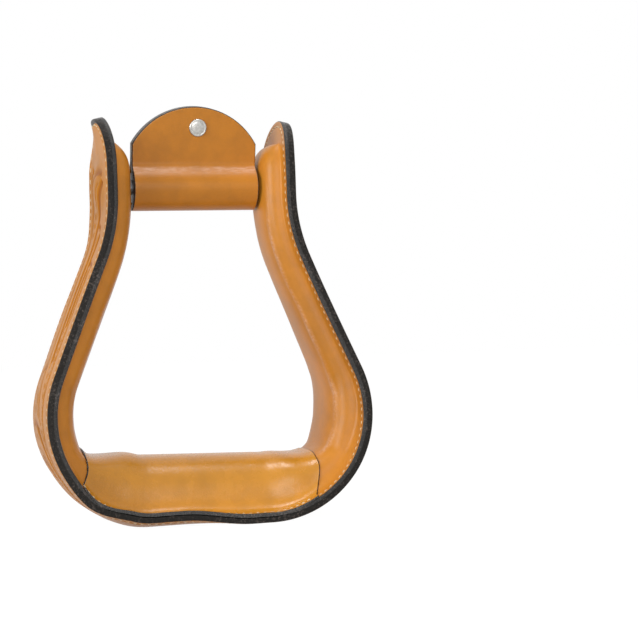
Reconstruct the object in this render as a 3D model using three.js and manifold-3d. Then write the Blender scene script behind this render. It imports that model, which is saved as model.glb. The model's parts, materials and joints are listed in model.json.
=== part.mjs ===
// A leather-covered western stirrup with a bell-shaped bow, in millimetres, +Z up.
// The origin is on the ground under the middle of the tread. X runs across the stirrup and -Y is its front.
// A bent wooden bow and a tread block are held between a one-piece outer cover, two leg liners and a tread
// cover, sewn together round the edge. A bolt across the neck carries a sleeve with a leather roller cover.
import * as THREE from "three";
import { mergeVertices } from "three/addons/utils/BufferGeometryUtils.js";
import Module from "manifold-3d";

const wasm = await Module();
wasm.setup();

// Driving dimensions of the bow's outer face, seen from the front
const baseFlat = 63;
const cornerRadius = 62.5;
const legLean = THREE.MathUtils.degToRad(22.5);
const neckClear = 75.5;
const neckRadius = 92;
const neckStraight = 16;
const flareLength = 28;
const flareRadius = 118;

// Widths of the leather from front to back
const neckWidth = 53.4;
const treadWidth = 78.2;
const taperStart = 87;
const taperEndBelowTip = 80;
const tipReach = 34;
const tipRoundness = 2.4;

// Leathers, wood and the clearances between them
const coverThickness = 3.2;
const linerThickness = 3;
const tailThickness = 1.2;
const treadCoverThickness = 3;
const bowThickness = 10.4;
const treadHeight = 38.5;
const seatGap = 0.3;
const wrapGap = 0.35;
const sideGap = 0.4;
const marginWidth = 8;

// Where the wooden bow stops below the leather's tip, and how far its end is rounded
const woodBelowTip = 17.5;
const woodEndRound = 14;
const crownPower = 2.4;
const woodEdgeShare = 0.965;
const woodSquareEnd = 0.5;
const thinnestBlock = 1.5;

// Tread cover and the liners' tails under it
const treadCoverLength = 138;
const tailLap = 32;
const skiveLength = 12;
const blockSetback = 3;
const cornerBlend = 14;
const insetEase = 45;
const leastUpright = 0.2;

// Stitching
const seamInset = 5;
const grooveHalf = 1.2;
const grooveDepth = 1.5;
const leastUnderGroove = 1;
const tailGroove = 0.3;
const threadRadius = 0.4;
const threadSink = 0.45;
const seamStop = 1;

// Neck bolt and roller
const rollerAboveNeck = 6;
const sidePlay = 2.9;
const boltRadius = 4;
const runningGap = 0.3;
const sleeveRadius = 8.7;
const wrapThickness = 3.2;
const flapTop = 47;
const flapCorner = 25.5;
const flapLean = THREE.MathUtils.degToRad(12);
const creaseRadius = 6;
const hexAcross = 13;
const headHeight = 4.6;
const nutHeight = 4.6;
const washerRadius = 9;
const washerThickness = 1.5;
const pocketDepth = 5;
const pocketClearance = 1;
const boltPastNut = 0.5;
const boltBulge = 3.2;
const bulgeReach = 20;

// Rivet through the flap
const rivetBelowTop = 12.1;
const rivetOffCentre = 1.6;
const rivetHeadRadius = 5.1;
const rivetHeadHeight = 1.4;
const rivetRimHeight = 0.5;
const rivetFlatRadius = 3.8;
const rivetShoulderHeight = 1.2;
const rivetShankRadius = 2.3;
const rivetClinchRadius = 4;
const rivetClinchHeight = 0.8;
const rivetNotch = 0.62;
const rivetPetals = 8;

// Screws that hold the tread block on the bow
const screwSpacing = 44;
const screwRadius = 2;
const screwHeadRadius = 4;
const screwHeadHeight = 2.4;
const screwLength = 24;
const screwPoint = 4;
const screwHoleRunOut = 1.2;

// How finely curves are cut into flats
const baseSteps = 2;
const cornerSteps = 11;
const legSteps = 4;
const neckSteps = 4;
const straightSteps = 1;
const tipSteps = 7;
const crownSteps = 5;
const roundSteps = 28;
const wrapSteps = 12;
const creaseSteps = 4;
const flapSteps = 20;
const rowSpacing = 2;
const middleShares = [-0.5, 0, 0.5];

// Points closer than this are one, and a body that cuts is this many times as large as what it cuts
const mergeWithin = 1e-3;
const oversize = 4;

// Worked out from the values above
const legDepth = coverThickness + seatGap + bowThickness + wrapGap + linerThickness;
const neckHalf = neckClear / 2 + legDepth;
const cornerTurn = Math.PI / 2 + legLean;
const cornerEndX = baseFlat / 2 + cornerRadius * Math.sin(cornerTurn);
const neckShift = neckRadius * (1 - Math.cos(legLean));
const legStraight = (cornerEndX - neckHalf - neckShift) / Math.sin(legLean);
const bows = [
  { length: baseFlat / 2, bend: 0, steps: baseSteps },
  { length: cornerRadius * cornerTurn, bend: 1 / cornerRadius, steps: cornerSteps },
  { length: legStraight, bend: 0, steps: legSteps },
  { length: neckRadius * legLean, bend: -1 / neckRadius, steps: neckSteps },
  { length: neckStraight, bend: 0, steps: straightSteps },
  { length: flareLength, bend: -1 / flareRadius, steps: 1 },
];
const bowReach = bows.reduce((sum, part) => sum + part.length, 0);
const woodFloor = coverThickness + seatGap;
const woodTop = woodFloor + bowThickness;
const coreTreadTop = treadHeight - treadCoverThickness - wrapGap;
const treadEndTurn = Math.atan2((treadCoverLength - baseFlat) / 2, cornerRadius - treadHeight);
const treadEndPlace = baseFlat / 2 + cornerRadius * treadEndTurn;
const flapFace = wrapThickness + seatGap / 2;
const layersOverWood = sideGap + linerThickness + seatGap + treadCoverThickness;
const pocketFloor = neckHalf - woodFloor - pocketDepth;

// A point of the bow's outer face at a signed distance from the middle of the base, with its inward normal.
function bowAt(distance) {
  let left = Math.abs(distance);
  let x = 0;
  let z = 0;
  let heading = 0;
  for (const { length, bend } of bows) {
    const run = part(left, length);
    const turned = heading + run * bend;
    if (bend) {
      x += (Math.sin(turned) - Math.sin(heading)) / bend;
      z -= (Math.cos(turned) - Math.cos(heading)) / bend;
    } else {
      x += run * Math.cos(heading);
      z += run * Math.sin(heading);
    }
    heading = turned;
    left -= run;
  }
  const side = Math.sign(distance) || 1;
  return { x: side * x, z, nx: -side * Math.sin(heading), nz: Math.cos(heading) };
}

function part(left, length) {
  return Math.max(0, Math.min(left, length));
}

// A point at a depth under the bow's outer face, towards the foot opening.
function worldPoint([distance, y, depth]) {
  const at = bowAt(distance);
  return new THREE.Vector3(at.x + depth * at.nx, y, at.z + depth * at.nz);
}

// Half the leather's width, before its tip is rounded: narrow at the neck and wide at the tread.
function halfWidth(distance) {
  const share = THREE.MathUtils.smoothstep(Math.abs(distance), taperStart, bowReach - taperEndBelowTip);
  return THREE.MathUtils.lerp(treadWidth, neckWidth, share) / 2;
}

// The leather's outline as [distance, half width].
// Past the straight stretch it is a superellipse round the tip.
const straightReach = bowReach - tipReach;
function outlineAt(place) {
  const side = Math.sign(place) || 1;
  const past = Math.abs(place) - straightReach;
  if (past <= 0) {
    return [place, halfWidth(place)];
  }
  const turn = (Math.min(1, past / tipReach) * Math.PI) / 2;
  const distance = straightReach + tipReach * Math.sin(turn) ** (2 / tipRoundness);
  return [side * distance, halfWidth(distance) * Math.cos(turn)];
}

// A point at a distance inside the outline, on its inward normal, as [distance, half width].
function insideOutline(place, inset) {
  const step = 0.01;
  const reach = straightReach + tipReach;
  const before = outlineAt(Math.max(-reach, place - step));
  const after = outlineAt(Math.min(reach, place + step));
  const run = after[0] - before[0];
  const rise = after[1] - before[1];
  const size = Math.hypot(run, rise);
  const [distance, half] = outlineAt(place);
  return [distance + (inset * rise) / size, Math.max(0, half - (inset * run) / size)];
}

// A maximum with a rounded corner, exact where the two values are further apart than the blend.
function smoothMax(a, b, blend) {
  const near = Math.max(0, blend - Math.abs(a - b)) / blend;
  return Math.max(a, b) + (near * near * blend) / 4;
}

// Depth of the wood's crown under the outer face: the bow's own thickness, or up to the tread's level top.
// The tread is lower by what lies between it and the tread cover.
function woodCrown(distance, lift) {
  const at = bowAt(distance);
  const toTread = at.nz > leastUpright ? (coreTreadTop - at.z) / at.nz - lift : 0;
  return smoothMax(woodTop, toTread, cornerBlend);
}

// How much of its full height the crown has where the wood's end is rounded off.
function endShare(distance, spread) {
  const fullAt = woodBelowTip + woodEndRound;
  const short = (fullAt - (bowReach - Math.abs(distance))) / (woodEndRound + spread);
  return short <= 0 ? 1 : Math.sqrt(Math.max(0, 1 - short ** crownPower));
}

// 1 on the tread and 0 on the legs
function treadShare(distance) {
  return 1 - THREE.MathUtils.smoothstep(Math.abs(distance), treadEndPlace, treadEndPlace + insetEase);
}

// A liner's thickness: full on the leg, thinned towards its tail under the tread cover.
function linerThicknessAt(place) {
  const share = THREE.MathUtils.smoothstep(Math.abs(place), tailPlace, tailPlace + skiveLength);
  return THREE.MathUtils.lerp(tailThickness, linerThickness, share);
}

// How far a liner's tail lifts the tread cover
function tailLift(place) {
  return Math.abs(place) >= tailPlace ? linerThicknessAt(place) + seatGap : 0;
}

// Stations along the leather from the left tip to the right one, with what each layer needs there.
function stationPlaces() {
  const places = [0];
  let start = 0;
  for (const { length, steps } of bows) {
    for (let i = 1; i <= steps; i += 1) {
      const place = start + (length * i) / steps;
      if (place < straightReach - rowSpacing) {
        places.push(place);
      }
    }
    start += length;
  }
  for (let i = 0; i <= tipSteps; i += 1) {
    places.push(straightReach + (tipReach * i) / tipSteps);
  }
  return [...places.slice(1).reverse().map((place) => -place), ...places];
}

const places = stationPlaces();
const tailPlace = places.find((place) => place > treadEndPlace - tailLap);
const rows = places.map((place) => {
  const [foot, footHalf] = insideOutline(place, marginWidth);
  const fullHalf = halfWidth(foot) - marginWidth;
  const inset = sideGap + linerThickness + treadShare(foot) * (layersOverWood - sideGap - linerThickness);
  return { place, foot, footHalf, fullHalf, inset, crown: woodCrown(foot, tailLift(place)) };
});

const crownAngles = Array.from({ length: 2 * crownSteps + 1 }, (_, i) => (Math.PI * i) / (2 * crownSteps));

// The margin's points on one side, from the edge inwards, with a groove for the thread.
function marginLine(row, side, depth, grooveDip) {
  const insets = grooveDip
    ? [0, seamInset - grooveHalf, seamInset, seamInset + grooveHalf, marginWidth]
    : [0, marginWidth];
  return insets.map((inset) => {
    const [distance, half] = insideOutline(row.place, inset);
    const dip = inset === seamInset ? grooveDip : 0;
    return [distance, side * half, depth + dip];
  });
}

// The crowned middle of a layer that lies over the wood, spread sideways by the layers under it.
function crownLine(row, base, crown, spread) {
  const half = row.footHalf * (1 - (row.inset - spread) / row.fullHalf);
  const rise = (crown - base) * endShare(row.foot, spread);
  return crownAngles.map((angle) => {
    const across = Math.cos(angle);
    const y = -Math.sign(across) * half * Math.abs(across) ** (2 / crownPower);
    return [row.foot, y, base + rise * Math.sin(angle)];
  });
}

// A whole layer surface from its front edge to its back edge.
function layerLine(row, base, crown, spread, grooveDip) {
  return [
    ...marginLine(row, -1, base, grooveDip),
    ...crownLine(row, base, crown, spread),
    ...marginLine(row, 1, base, grooveDip).reverse(),
  ];
}

// A closed body through one closed line of points for each station, with a cap on each end that is open.
// A station that is folded flat, as at a tip, is closed already. A ring's last station joins its first.
// Each quad is split from its point nearer the middle, so that layers that nest bend along the same lines.
function loft(sections, { capStart = true, capEnd = true, ring = false } = {}) {
  const size = sections[0].length;
  const corners = sections.flat().flatMap((point) => [point.x, point.y, point.z]);
  const faces = [];
  const count = ring ? sections.length : sections.length - 1;
  for (let i = 0; i < count; i += 1) {
    const here = i * size;
    const next = ((i + 1) % sections.length) * size;
    for (let j = 0; j < size; j += 1) {
      const k = (j + 1) % size;
      if (Math.abs(sections[i][j].y) < Math.abs(sections[i][k].y)) {
        faces.push(here + j, next + j, next + k, here + j, next + k, here + k);
      } else {
        faces.push(here + j, next + j, here + k, next + j, next + k, here + k);
      }
    }
  }
  const last = (sections.length - 1) * size;
  if (!ring && capStart) {
    capFaces(sections[0]).forEach(([a, b, c]) => faces.push(a, b, c));
  }
  if (!ring && capEnd) {
    const end = capFaces(sections[sections.length - 1]);
    end.forEach(([a, b, c]) => faces.push(last + a, last + c, last + b));
  }
  const geometry = new THREE.BufferGeometry();
  geometry.setAttribute("position", new THREE.Float32BufferAttribute(corners, 3));
  geometry.setIndex(faces);
  return facingOut(withoutSlivers(mergeVertices(geometry, mergeWithin)));
}

// Triangles over a flat section, found in the plane of the section.
function capFaces(section) {
  const middle = new THREE.Vector3();
  section.forEach((point) => middle.addScaledVector(point, 1 / section.length));
  const normal = new THREE.Vector3();
  section.forEach((point, i) => {
    const next = section[(i + 1) % section.length];
    normal.add(point.clone().sub(middle).cross(next.clone().sub(middle)));
  });
  normal.normalize();
  const across = new THREE.Vector3(0, 1, 0);
  const up = normal.clone().cross(across).normalize();
  const flat = section.map((point) => new THREE.Vector2(point.dot(across), point.dot(up)));
  return THREE.ShapeUtils.triangulateShape(flat, []);
}

function withoutSlivers(geometry) {
  const index = Array.from(geometry.index.array);
  const kept = [];
  for (let i = 0; i < index.length; i += 3) {
    const [a, b, c] = index.slice(i, i + 3);
    if (a !== b && b !== c && c !== a) {
      kept.push(a, b, c);
    }
  }
  geometry.setIndex(kept);
  return geometry;
}

function facingOut(geometry) {
  const position = geometry.attributes.position;
  const index = geometry.index.array;
  const corner = [new THREE.Vector3(), new THREE.Vector3(), new THREE.Vector3()];
  let volume = 0;
  for (let i = 0; i < index.length; i += 3) {
    corner.forEach((point, k) => point.fromBufferAttribute(position, index[i + k]));
    volume += corner[0].dot(corner[1].cross(corner[2]));
  }
  if (volume < 0) {
    geometry.setIndex(Array.from(index).reverse());
  }
  return geometry;
}

// Joins and cuts
function solid(geometry, matrix = new THREE.Matrix4()) {
  const bare = (geometry.index ? geometry.toNonIndexed() : geometry.clone()).applyMatrix4(matrix);
  bare.deleteAttribute("normal");
  bare.deleteAttribute("uv");
  const merged = withoutSlivers(mergeVertices(bare, mergeWithin));
  return new wasm.Manifold(
    new wasm.Mesh({
      numProp: 3,
      vertProperties: merged.attributes.position.array,
      triVerts: new Uint32Array(merged.index.array),
    }),
  );
}

function geometryOf(body) {
  const { vertProperties, triVerts } = body.getMesh();
  const geometry = new THREE.BufferGeometry();
  geometry.setAttribute("position", new THREE.BufferAttribute(vertProperties, 3));
  geometry.setIndex(new THREE.BufferAttribute(triVerts, 1));
  return geometry;
}

function cut(geometry, ...tools) {
  return geometryOf(tools.reduce((body, tool) => body.subtract(tool), solid(geometry)));
}

const turnToX = new THREE.Matrix4().makeRotationZ(-Math.PI / 2);
const turnToZ = new THREE.Matrix4().makeRotationX(Math.PI / 2);

function barAlongX(radius, length, x, z, sides = roundSteps) {
  const place = new THREE.Matrix4().makeTranslation(x, 0, z).multiply(turnToX);
  return solid(new THREE.CylinderGeometry(radius, radius, length, sides), place);
}

// A turned body about a vertical axis from [radius, height] points that start and end on the axis.
function turned(profile, matrix) {
  const points = profile.map(([radius, height]) => new THREE.Vector2(radius, height));
  return solid(new THREE.LatheGeometry(points, roundSteps), turnToZ.clone().premultiply(matrix));
}

// Finishes
const leather = (color) => new THREE.MeshStandardMaterial({ color, roughness: 0.45, metalness: 0 });
const russet = leather(0xc17a2c);
const palerRusset = leather(0xc98433);
const wood = new THREE.MeshStandardMaterial({ color: 0xb08a5a, roughness: 0.7, metalness: 0 });
const steel = new THREE.MeshStandardMaterial({ color: 0x9a9b9c, roughness: 0.35, metalness: 1 });
const nickel = new THREE.MeshStandardMaterial({ color: 0xc9c8c2, roughness: 0.25, metalness: 1 });
const thread = new THREE.MeshStandardMaterial({ color: 0xe6cfa8, roughness: 0.8, metalness: 0 });

const stirrup = new THREE.Group();
function add(name, geometry, material) {
  const mesh = new THREE.Mesh(geometry, material);
  mesh.name = name;
  stirrup.add(mesh);
}

// The neck bolt's place, shared by every hole on its line, above where the neck starts
const neckStart = bowReach - neckStraight - flareLength;
const rollerHeight = bowAt(neckStart).z + rollerAboveNeck;

// How far the outer cover stands out over a bolt end
function bulge(distance, y) {
  const at = bowAt(distance);
  const away = Math.hypot(at.z - rollerHeight, y);
  return away < bulgeReach ? boltBulge * Math.cos((Math.PI * away) / (2 * bulgeReach)) ** 2 : 0;
}

// The outer cover: one strip from tip to tip under the tread, grooved for the thread.
function coverMiddle(row, depth) {
  return middleShares.map((share) => {
    const y = row.footHalf * share;
    return [row.foot, y, depth - bulge(row.foot, y)];
  });
}

function coverSection(row) {
  const outside = [
    ...marginLine(row, -1, 0, grooveDepth),
    ...coverMiddle(row, 0),
    ...marginLine(row, 1, 0, grooveDepth).reverse(),
  ];
  const inside = [
    ...marginLine(row, -1, coverThickness, 0),
    ...coverMiddle(row, coverThickness),
    ...marginLine(row, 1, coverThickness, 0).reverse(),
  ];
  return [...outside, ...inside.reverse()].map(worldPoint);
}

function addOuterCover() {
  add("outer_cover", loft(rows.map(coverSection), { capStart: false, capEnd: false }), russet);
}

// The liners: each runs from its tip down the leg and ends in a thinned tail under the tread cover.
function linerSection(row) {
  const thickness = linerThicknessAt(row.place);
  const grooved = thickness > grooveDepth + leastUnderGroove ? grooveDepth : tailGroove;
  const under = layerLine(row, woodFloor, row.crown + wrapGap, sideGap, 0);
  const crown = row.crown + wrapGap + thickness;
  const over = layerLine(row, woodFloor + thickness, crown, sideGap + thickness, -grooved);
  return [...under, ...over.reverse()].map(worldPoint);
}

function addLiner(name, side) {
  const own = rows.filter((row) => side * row.place >= tailPlace);
  const tipFirst = side < 0;
  const leatherBody = loft(own.map(linerSection), { capStart: !tipFirst, capEnd: tipFirst });
  const boltHole = barAlongX(boltRadius + runningGap, legDepth * oversize, side * neckHalf, rollerHeight);
  add(name, cut(leatherBody, boltHole), palerRusset);
}

// The tread cover: over the block and the liners' tails, cut square at both ends.
function treadCoverSection(row) {
  const lift = tailLift(row.place);
  const base = woodFloor + lift;
  const crown = row.crown + wrapGap + lift;
  const spread = sideGap + lift;
  const thick = treadCoverThickness;
  const under = layerLine(row, base, crown, spread, 0);
  const over = layerLine(row, base + thick, crown + thick, spread + thick, -grooveDepth);
  return [...under, ...over.reverse()].map(worldPoint);
}

const treadRows = rows.filter((row) => Math.abs(row.place) < treadEndPlace + cornerBlend);

function acrossTread(length) {
  return solid(new THREE.BoxGeometry(length, treadWidth * oversize, treadHeight * oversize));
}

function addTreadCover() {
  const whole = solid(loft(treadRows.map(treadCoverSection)));
  add("tread_cover", geometryOf(whole.intersect(acrossTread(treadCoverLength))), russet);
}

// The wooden bow: the crown's shape cut off flat where the tread block sits on it.
function bowSection(row) {
  const half = row.footHalf * (1 - row.inset / row.fullHalf);
  const edge = half * woodEdgeShare;
  const rise = (row.crown - woodFloor) * endShare(row.foot, 0);
  const top = crownAngles.map((angle) => {
    const whole = signedPower(Math.cos(angle), 2 / crownPower);
    const across = THREE.MathUtils.clamp(whole, -woodEdgeShare, woodEdgeShare);
    const share = Math.sqrt(1 - Math.abs(across) ** crownPower);
    return [row.foot, -half * across, Math.min(woodTop, woodFloor + rise * share)];
  });
  const bottom = [edge, 0, -edge].map((y) => [row.foot, y, woodFloor]);
  return [...top, ...bottom].map(worldPoint);
}

function signedPower(value, power) {
  return Math.sign(value) * Math.abs(value) ** power;
}

function addBow(screwHoles) {
  const woodRows = rows.filter((row) => bowReach - Math.abs(row.foot) > woodBelowTip + woodSquareEnd);
  const bow = loft(woodRows.map(bowSection));
  const boltHole = barAlongX(boltRadius + runningGap, neckHalf * oversize, 0, rollerHeight);
  const pockets = [-1, 1].map((side) => {
    const middle = side * (pocketFloor + legDepth / 2);
    return barAlongX(washerRadius + pocketClearance, legDepth, middle, rollerHeight);
  });
  add("bow_frame", cut(bow, boltHole, ...pockets, ...screwHoles), wood);
}

// The tread block: what is left of the crown's shape above the bow, where it is thick enough to be a block.
function crownSection(row) {
  return crownLine(row, woodFloor, row.crown, 0).map(worldPoint);
}

function bowSlabSection(row) {
  const top = woodTop + seatGap;
  const corners = [[-treadWidth, 0], [treadWidth, 0], [treadWidth, top], [-treadWidth, top]];
  return corners.map(([y, depth]) => worldPoint([row.foot, y, depth]));
}

function addTreadBlock(screwHoles) {
  const isThick = (row) => row.crown > woodTop + seatGap + thinnestBlock;
  const first = rows.findIndex(isThick);
  const blockRows = rows.slice(first, rows.length - first);
  const slabRows = rows.slice(first - 1, rows.length - first + 1);
  const slab = solid(loft(slabRows.map(bowSlabSection)));
  const reach = acrossTread(treadCoverLength - 2 * blockSetback);
  const crown = solid(loft(blockRows.map(crownSection))).intersect(reach);
  add("tread_block", cut(geometryOf(crown), slab, ...screwHoles), wood);
}

// Screws up through the bow into the block. Grown by the running gap, a screw's body is its hole.
function screwBody(x, grown) {
  const head = screwHeadRadius + grown;
  const shank = screwRadius + grown;
  const foot = woodFloor + seatGap;
  const below = grown ? foot - screwHoleRunOut : foot;
  const profile = [
    [0, below],
    [head, below],
    [head, foot],
    [shank, foot + screwHeadHeight],
    [shank, foot + screwLength - screwPoint],
    [0, foot + screwLength + grown],
  ];
  return turned(profile, new THREE.Matrix4().makeTranslation(x, 0, 0));
}

function addScrews() {
  const spots = { tread_screw_left: -screwSpacing / 2, tread_screw_right: screwSpacing / 2 };
  Object.entries(spots).forEach(([name, x]) => add(name, geometryOf(screwBody(x, 0)), steel));
  return Object.values(spots).map((x) => screwBody(x, runningGap));
}

// The neck bolt, its nut and washers, in the pockets under the outer cover
function addBoltSet() {
  const washerAt = pocketFloor + seatGap + washerThickness / 2;
  const fixtureAt = pocketFloor + 2 * seatGap + washerThickness;
  const hexRadius = hexAcross / Math.sqrt(3);
  const tail = fixtureAt + nutHeight + boltPastNut;
  const shank = barAlongX(boltRadius, tail + fixtureAt, (tail - fixtureAt) / 2, rollerHeight);
  const head = barAlongX(hexRadius, headHeight, -(fixtureAt + headHeight / 2), rollerHeight, 6);
  add("neck_bolt", geometryOf(shank.add(head)), steel);
  const bore = barAlongX(boltRadius + runningGap, neckHalf * oversize, 0, rollerHeight);
  const nut = barAlongX(hexRadius, nutHeight, fixtureAt + nutHeight / 2, rollerHeight, 6);
  add("neck_nut", geometryOf(nut.subtract(bore)), steel);
  const washers = { head_washer: -washerAt, nut_washer: washerAt };
  Object.entries(washers).forEach(([name, x]) => {
    const disc = barAlongX(washerRadius, washerThickness, x, rollerHeight);
    add(name, geometryOf(disc.subtract(bore)), steel);
  });
}

// The roller: a steel sleeve on the bolt, in a leather cover that is folded round it and riveted above it.
// Its own frame has the bolt's line as X and the flap straight up; the flap leans to the front.
const rollerLength = neckClear - sidePlay;
const rollerFrame = new THREE.Matrix4().makeTranslation(0, 0, rollerHeight);
rollerFrame.multiply(new THREE.Matrix4().makeRotationX(flapLean));

function inRoller(x, y, z) {
  return rollerFrame.clone().multiply(new THREE.Matrix4().makeTranslation(x, y, z));
}

function addSleeve() {
  const tube = barAlongX(sleeveRadius, rollerLength, 0, rollerHeight);
  const bore = barAlongX(boltRadius + runningGap, rollerLength * oversize, 0, rollerHeight);
  add("roller_sleeve", geometryOf(tube.subtract(bore)), steel);
}

// Half of the folded leather's section on its outer side, from the roller's bottom up to the flap's top.
function wrapSide(radius, face, fillet) {
  const reach = radius + fillet;
  const turn = Math.acos((face + fillet) / reach);
  const points = [];
  for (let i = 0; i <= wrapSteps; i += 1) {
    const angle = -Math.PI / 2 + ((Math.PI / 2 + turn) * i) / wrapSteps;
    points.push([radius * Math.cos(angle), radius * Math.sin(angle)]);
  }
  for (let i = 1; i <= creaseSteps; i += 1) {
    const angle = Math.PI + turn - (turn * i) / creaseSteps;
    const y = face + fillet + fillet * Math.cos(angle);
    points.push([y, reach * Math.sin(turn) + fillet * Math.sin(angle)]);
  }
  points.push([face, flapTop + wrapThickness]);
  return points;
}

function addRollerCover(rivetHole) {
  const outer = wrapShape(sleeveRadius + runningGap + wrapThickness, flapFace, creaseRadius);
  const inner = wrapShape(sleeveRadius + runningGap, seatGap / 2, creaseRadius + wrapThickness);
  const profile = outer.subtract(inner);
  const silhouette = flapSilhouette();
  add("roller_cover", geometryOf(profile.intersect(silhouette).subtract(rivetHole)), russet);
}

// A keyhole-shaped bar along the roller: round below, with two upright sides above.
function wrapShape(radius, face, fillet) {
  const right = wrapSide(radius, face, fillet);
  const left = right.slice(1).map(([y, z]) => [-y, z]).reverse();
  const shape = new THREE.Shape([...right, ...left].map(([y, z]) => new THREE.Vector2(y, z)));
  const long = rollerLength * oversize;
  const bar = new THREE.ExtrudeGeometry(shape, { depth: long, bevelEnabled: false });
  const turn = new THREE.Matrix4().makeBasis(
    new THREE.Vector3(0, 1, 0),
    new THREE.Vector3(0, 0, 1),
    new THREE.Vector3(1, 0, 0),
  );
  return solid(bar, inRoller(-long / 2, 0, 0).multiply(turn));
}

// The roller cover seen from the front: a square roller with an arched flap.
function flapSilhouette() {
  const half = rollerLength / 2;
  const rise = flapTop - flapCorner;
  const arcRadius = (half * half + rise * rise) / (2 * rise);
  const arcMiddle = flapTop - arcRadius;
  const start = Math.atan2(flapCorner - arcMiddle, half);
  const below = -oversize * sleeveRadius;
  const shape = new THREE.Shape();
  shape.moveTo(-half, below);
  shape.lineTo(half, below);
  shape.lineTo(half, flapCorner);
  shape.absarc(0, arcMiddle, arcRadius, start, Math.PI - start, false);
  shape.closePath();
  const deep = oversize * sleeveRadius;
  const settings = { depth: deep, bevelEnabled: false, curveSegments: flapSteps };
  const plate = new THREE.ExtrudeGeometry(shape, settings);
  return solid(plate, inRoller(0, deep / 2, 0).multiply(turnToZ));
}

// The rivet: a domed head in front, a shank through both flaps and a clinched rosette behind.
function rivetPlace(along) {
  return inRoller(rivetOffCentre, along, flapTop - rivetBelowTop);
}

function addRivet() {
  const face = flapFace + seatGap;
  const points = [
    [0, -face],
    [rivetShankRadius, -face],
    [rivetShankRadius, face],
    [rivetHeadRadius, face],
    [rivetHeadRadius, face + rivetRimHeight],
    [rivetFlatRadius, face + rivetShoulderHeight],
    [0, face + rivetHeadHeight],
  ].map(([radius, along]) => new THREE.Vector2(radius, along));
  const headFirst = rivetPlace(0).multiply(new THREE.Matrix4().makeRotationX(Math.PI));
  const body = solid(new THREE.LatheGeometry(points, roundSteps), headFirst);
  add("flap_rivet", geometryOf(body.add(clinch(face))), nickel);
}

// The clinched end, a flat star on the leather
function clinch(face) {
  const shape = new THREE.Shape();
  const count = rivetPetals * 2;
  for (let i = 0; i < count; i += 1) {
    const radius = i % 2 ? rivetClinchRadius * rivetNotch : rivetClinchRadius;
    const angle = (Math.PI * 2 * i) / count;
    const point = [radius * Math.cos(angle), radius * Math.sin(angle)];
    if (i) {
      shape.lineTo(...point);
    } else {
      shape.moveTo(...point);
    }
  }
  shape.closePath();
  const star = new THREE.ExtrudeGeometry(shape, { depth: rivetClinchHeight, bevelEnabled: false });
  return solid(star, rivetPlace(face + rivetClinchHeight).multiply(turnToZ));
}

function rivetHole() {
  const radius = rivetShankRadius + runningGap;
  const bar = new THREE.CylinderGeometry(radius, radius, sleeveRadius * oversize, roundSteps);
  return solid(bar, rivetPlace(0));
}

// The seam threads lie sunk in their grooves. A side of 0 stands for a tip, where front and back meet.
function threadSection(row, side, depth) {
  const corners = [
    [seamInset - threadRadius, 0],
    [seamInset, -threadRadius],
    [seamInset + threadRadius, 0],
    [seamInset, threadRadius],
  ];
  return corners.map(([inset, sink]) => {
    const [distance, half] = insideOutline(row.place, inset);
    return worldPoint([distance, side * half, depth + sink]);
  });
}

function addOuterSeam() {
  const front = rows.map((row) => threadSection(row, -1, threadSink));
  const back = rows.slice(1, -1).reverse().map((row) => threadSection(row, 1, threadSink));
  add("outer_seam_thread", loft([...front, ...back], { ring: true }), thread);
}

// How far a row is from the middle of the tread, along X. Rows on the legs count as beyond it.
function reachFromTread(row) {
  const onLeg = Math.abs(row.place) > treadEndPlace + cornerBlend;
  return onLeg ? Infinity : Math.abs(worldPoint([row.place, 0, woodFloor]).x);
}

function addLinerSeam(name, side) {
  const start = treadCoverLength / 2 + seamStop;
  const own = rows.filter((row) => side * row.place > 0 && reachFromTread(row) > start);
  const outward = side < 0 ? own.slice().reverse() : own;
  const depth = woodFloor + linerThickness - threadSink;
  const front = outward.map((row) => threadSection(row, -1, depth));
  const back = outward.slice(0, -1).reverse().map((row) => threadSection(row, 1, depth));
  add(name, loft([...front, ...back]), thread);
}

function addTreadSeam(name, side) {
  const own = rows.filter((row) => reachFromTread(row) < treadCoverLength / 2 - seamStop);
  const sections = own.map((row) => {
    const top = woodFloor + tailLift(row.place) + treadCoverThickness;
    return threadSection(row, side, top - threadSink);
  });
  add(name, loft(sections), thread);
}

addOuterCover();
addLiner("left_liner", -1);
addLiner("right_liner", 1);
addTreadCover();
const screwHoles = addScrews();
addBow(screwHoles);
addTreadBlock(screwHoles);
addBoltSet();
addSleeve();
addRollerCover(rivetHole());
addRivet();
addOuterSeam();
addLinerSeam("left_liner_seam", -1);
addLinerSeam("right_liner_seam", 1);
addTreadSeam("tread_front_seam", -1);
addTreadSeam("tread_back_seam", 1);

export default stirrup;
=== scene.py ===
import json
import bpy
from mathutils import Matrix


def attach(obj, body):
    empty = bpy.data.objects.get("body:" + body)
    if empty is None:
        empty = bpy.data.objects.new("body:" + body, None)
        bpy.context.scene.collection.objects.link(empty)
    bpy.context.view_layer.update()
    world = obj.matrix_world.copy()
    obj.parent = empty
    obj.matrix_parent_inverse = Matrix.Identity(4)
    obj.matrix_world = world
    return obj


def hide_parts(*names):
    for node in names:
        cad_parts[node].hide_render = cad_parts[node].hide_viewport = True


bl_info = {
    "name": "Leather-covered stirrup",
    "version": (1, 0, 0),
    "blender": (4, 5, 0),
    "location": "3D View > Sidebar > Stirrup",
    "description": "Builds the leathers, stitches, rivet and finishes of a western stirrup around its solids",
    "category": "Add Mesh",
}

import bmesh
import bpy
import numpy as np
from bpy.props import FloatProperty, FloatVectorProperty, PointerProperty
from mathutils import Euler, Vector

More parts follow.
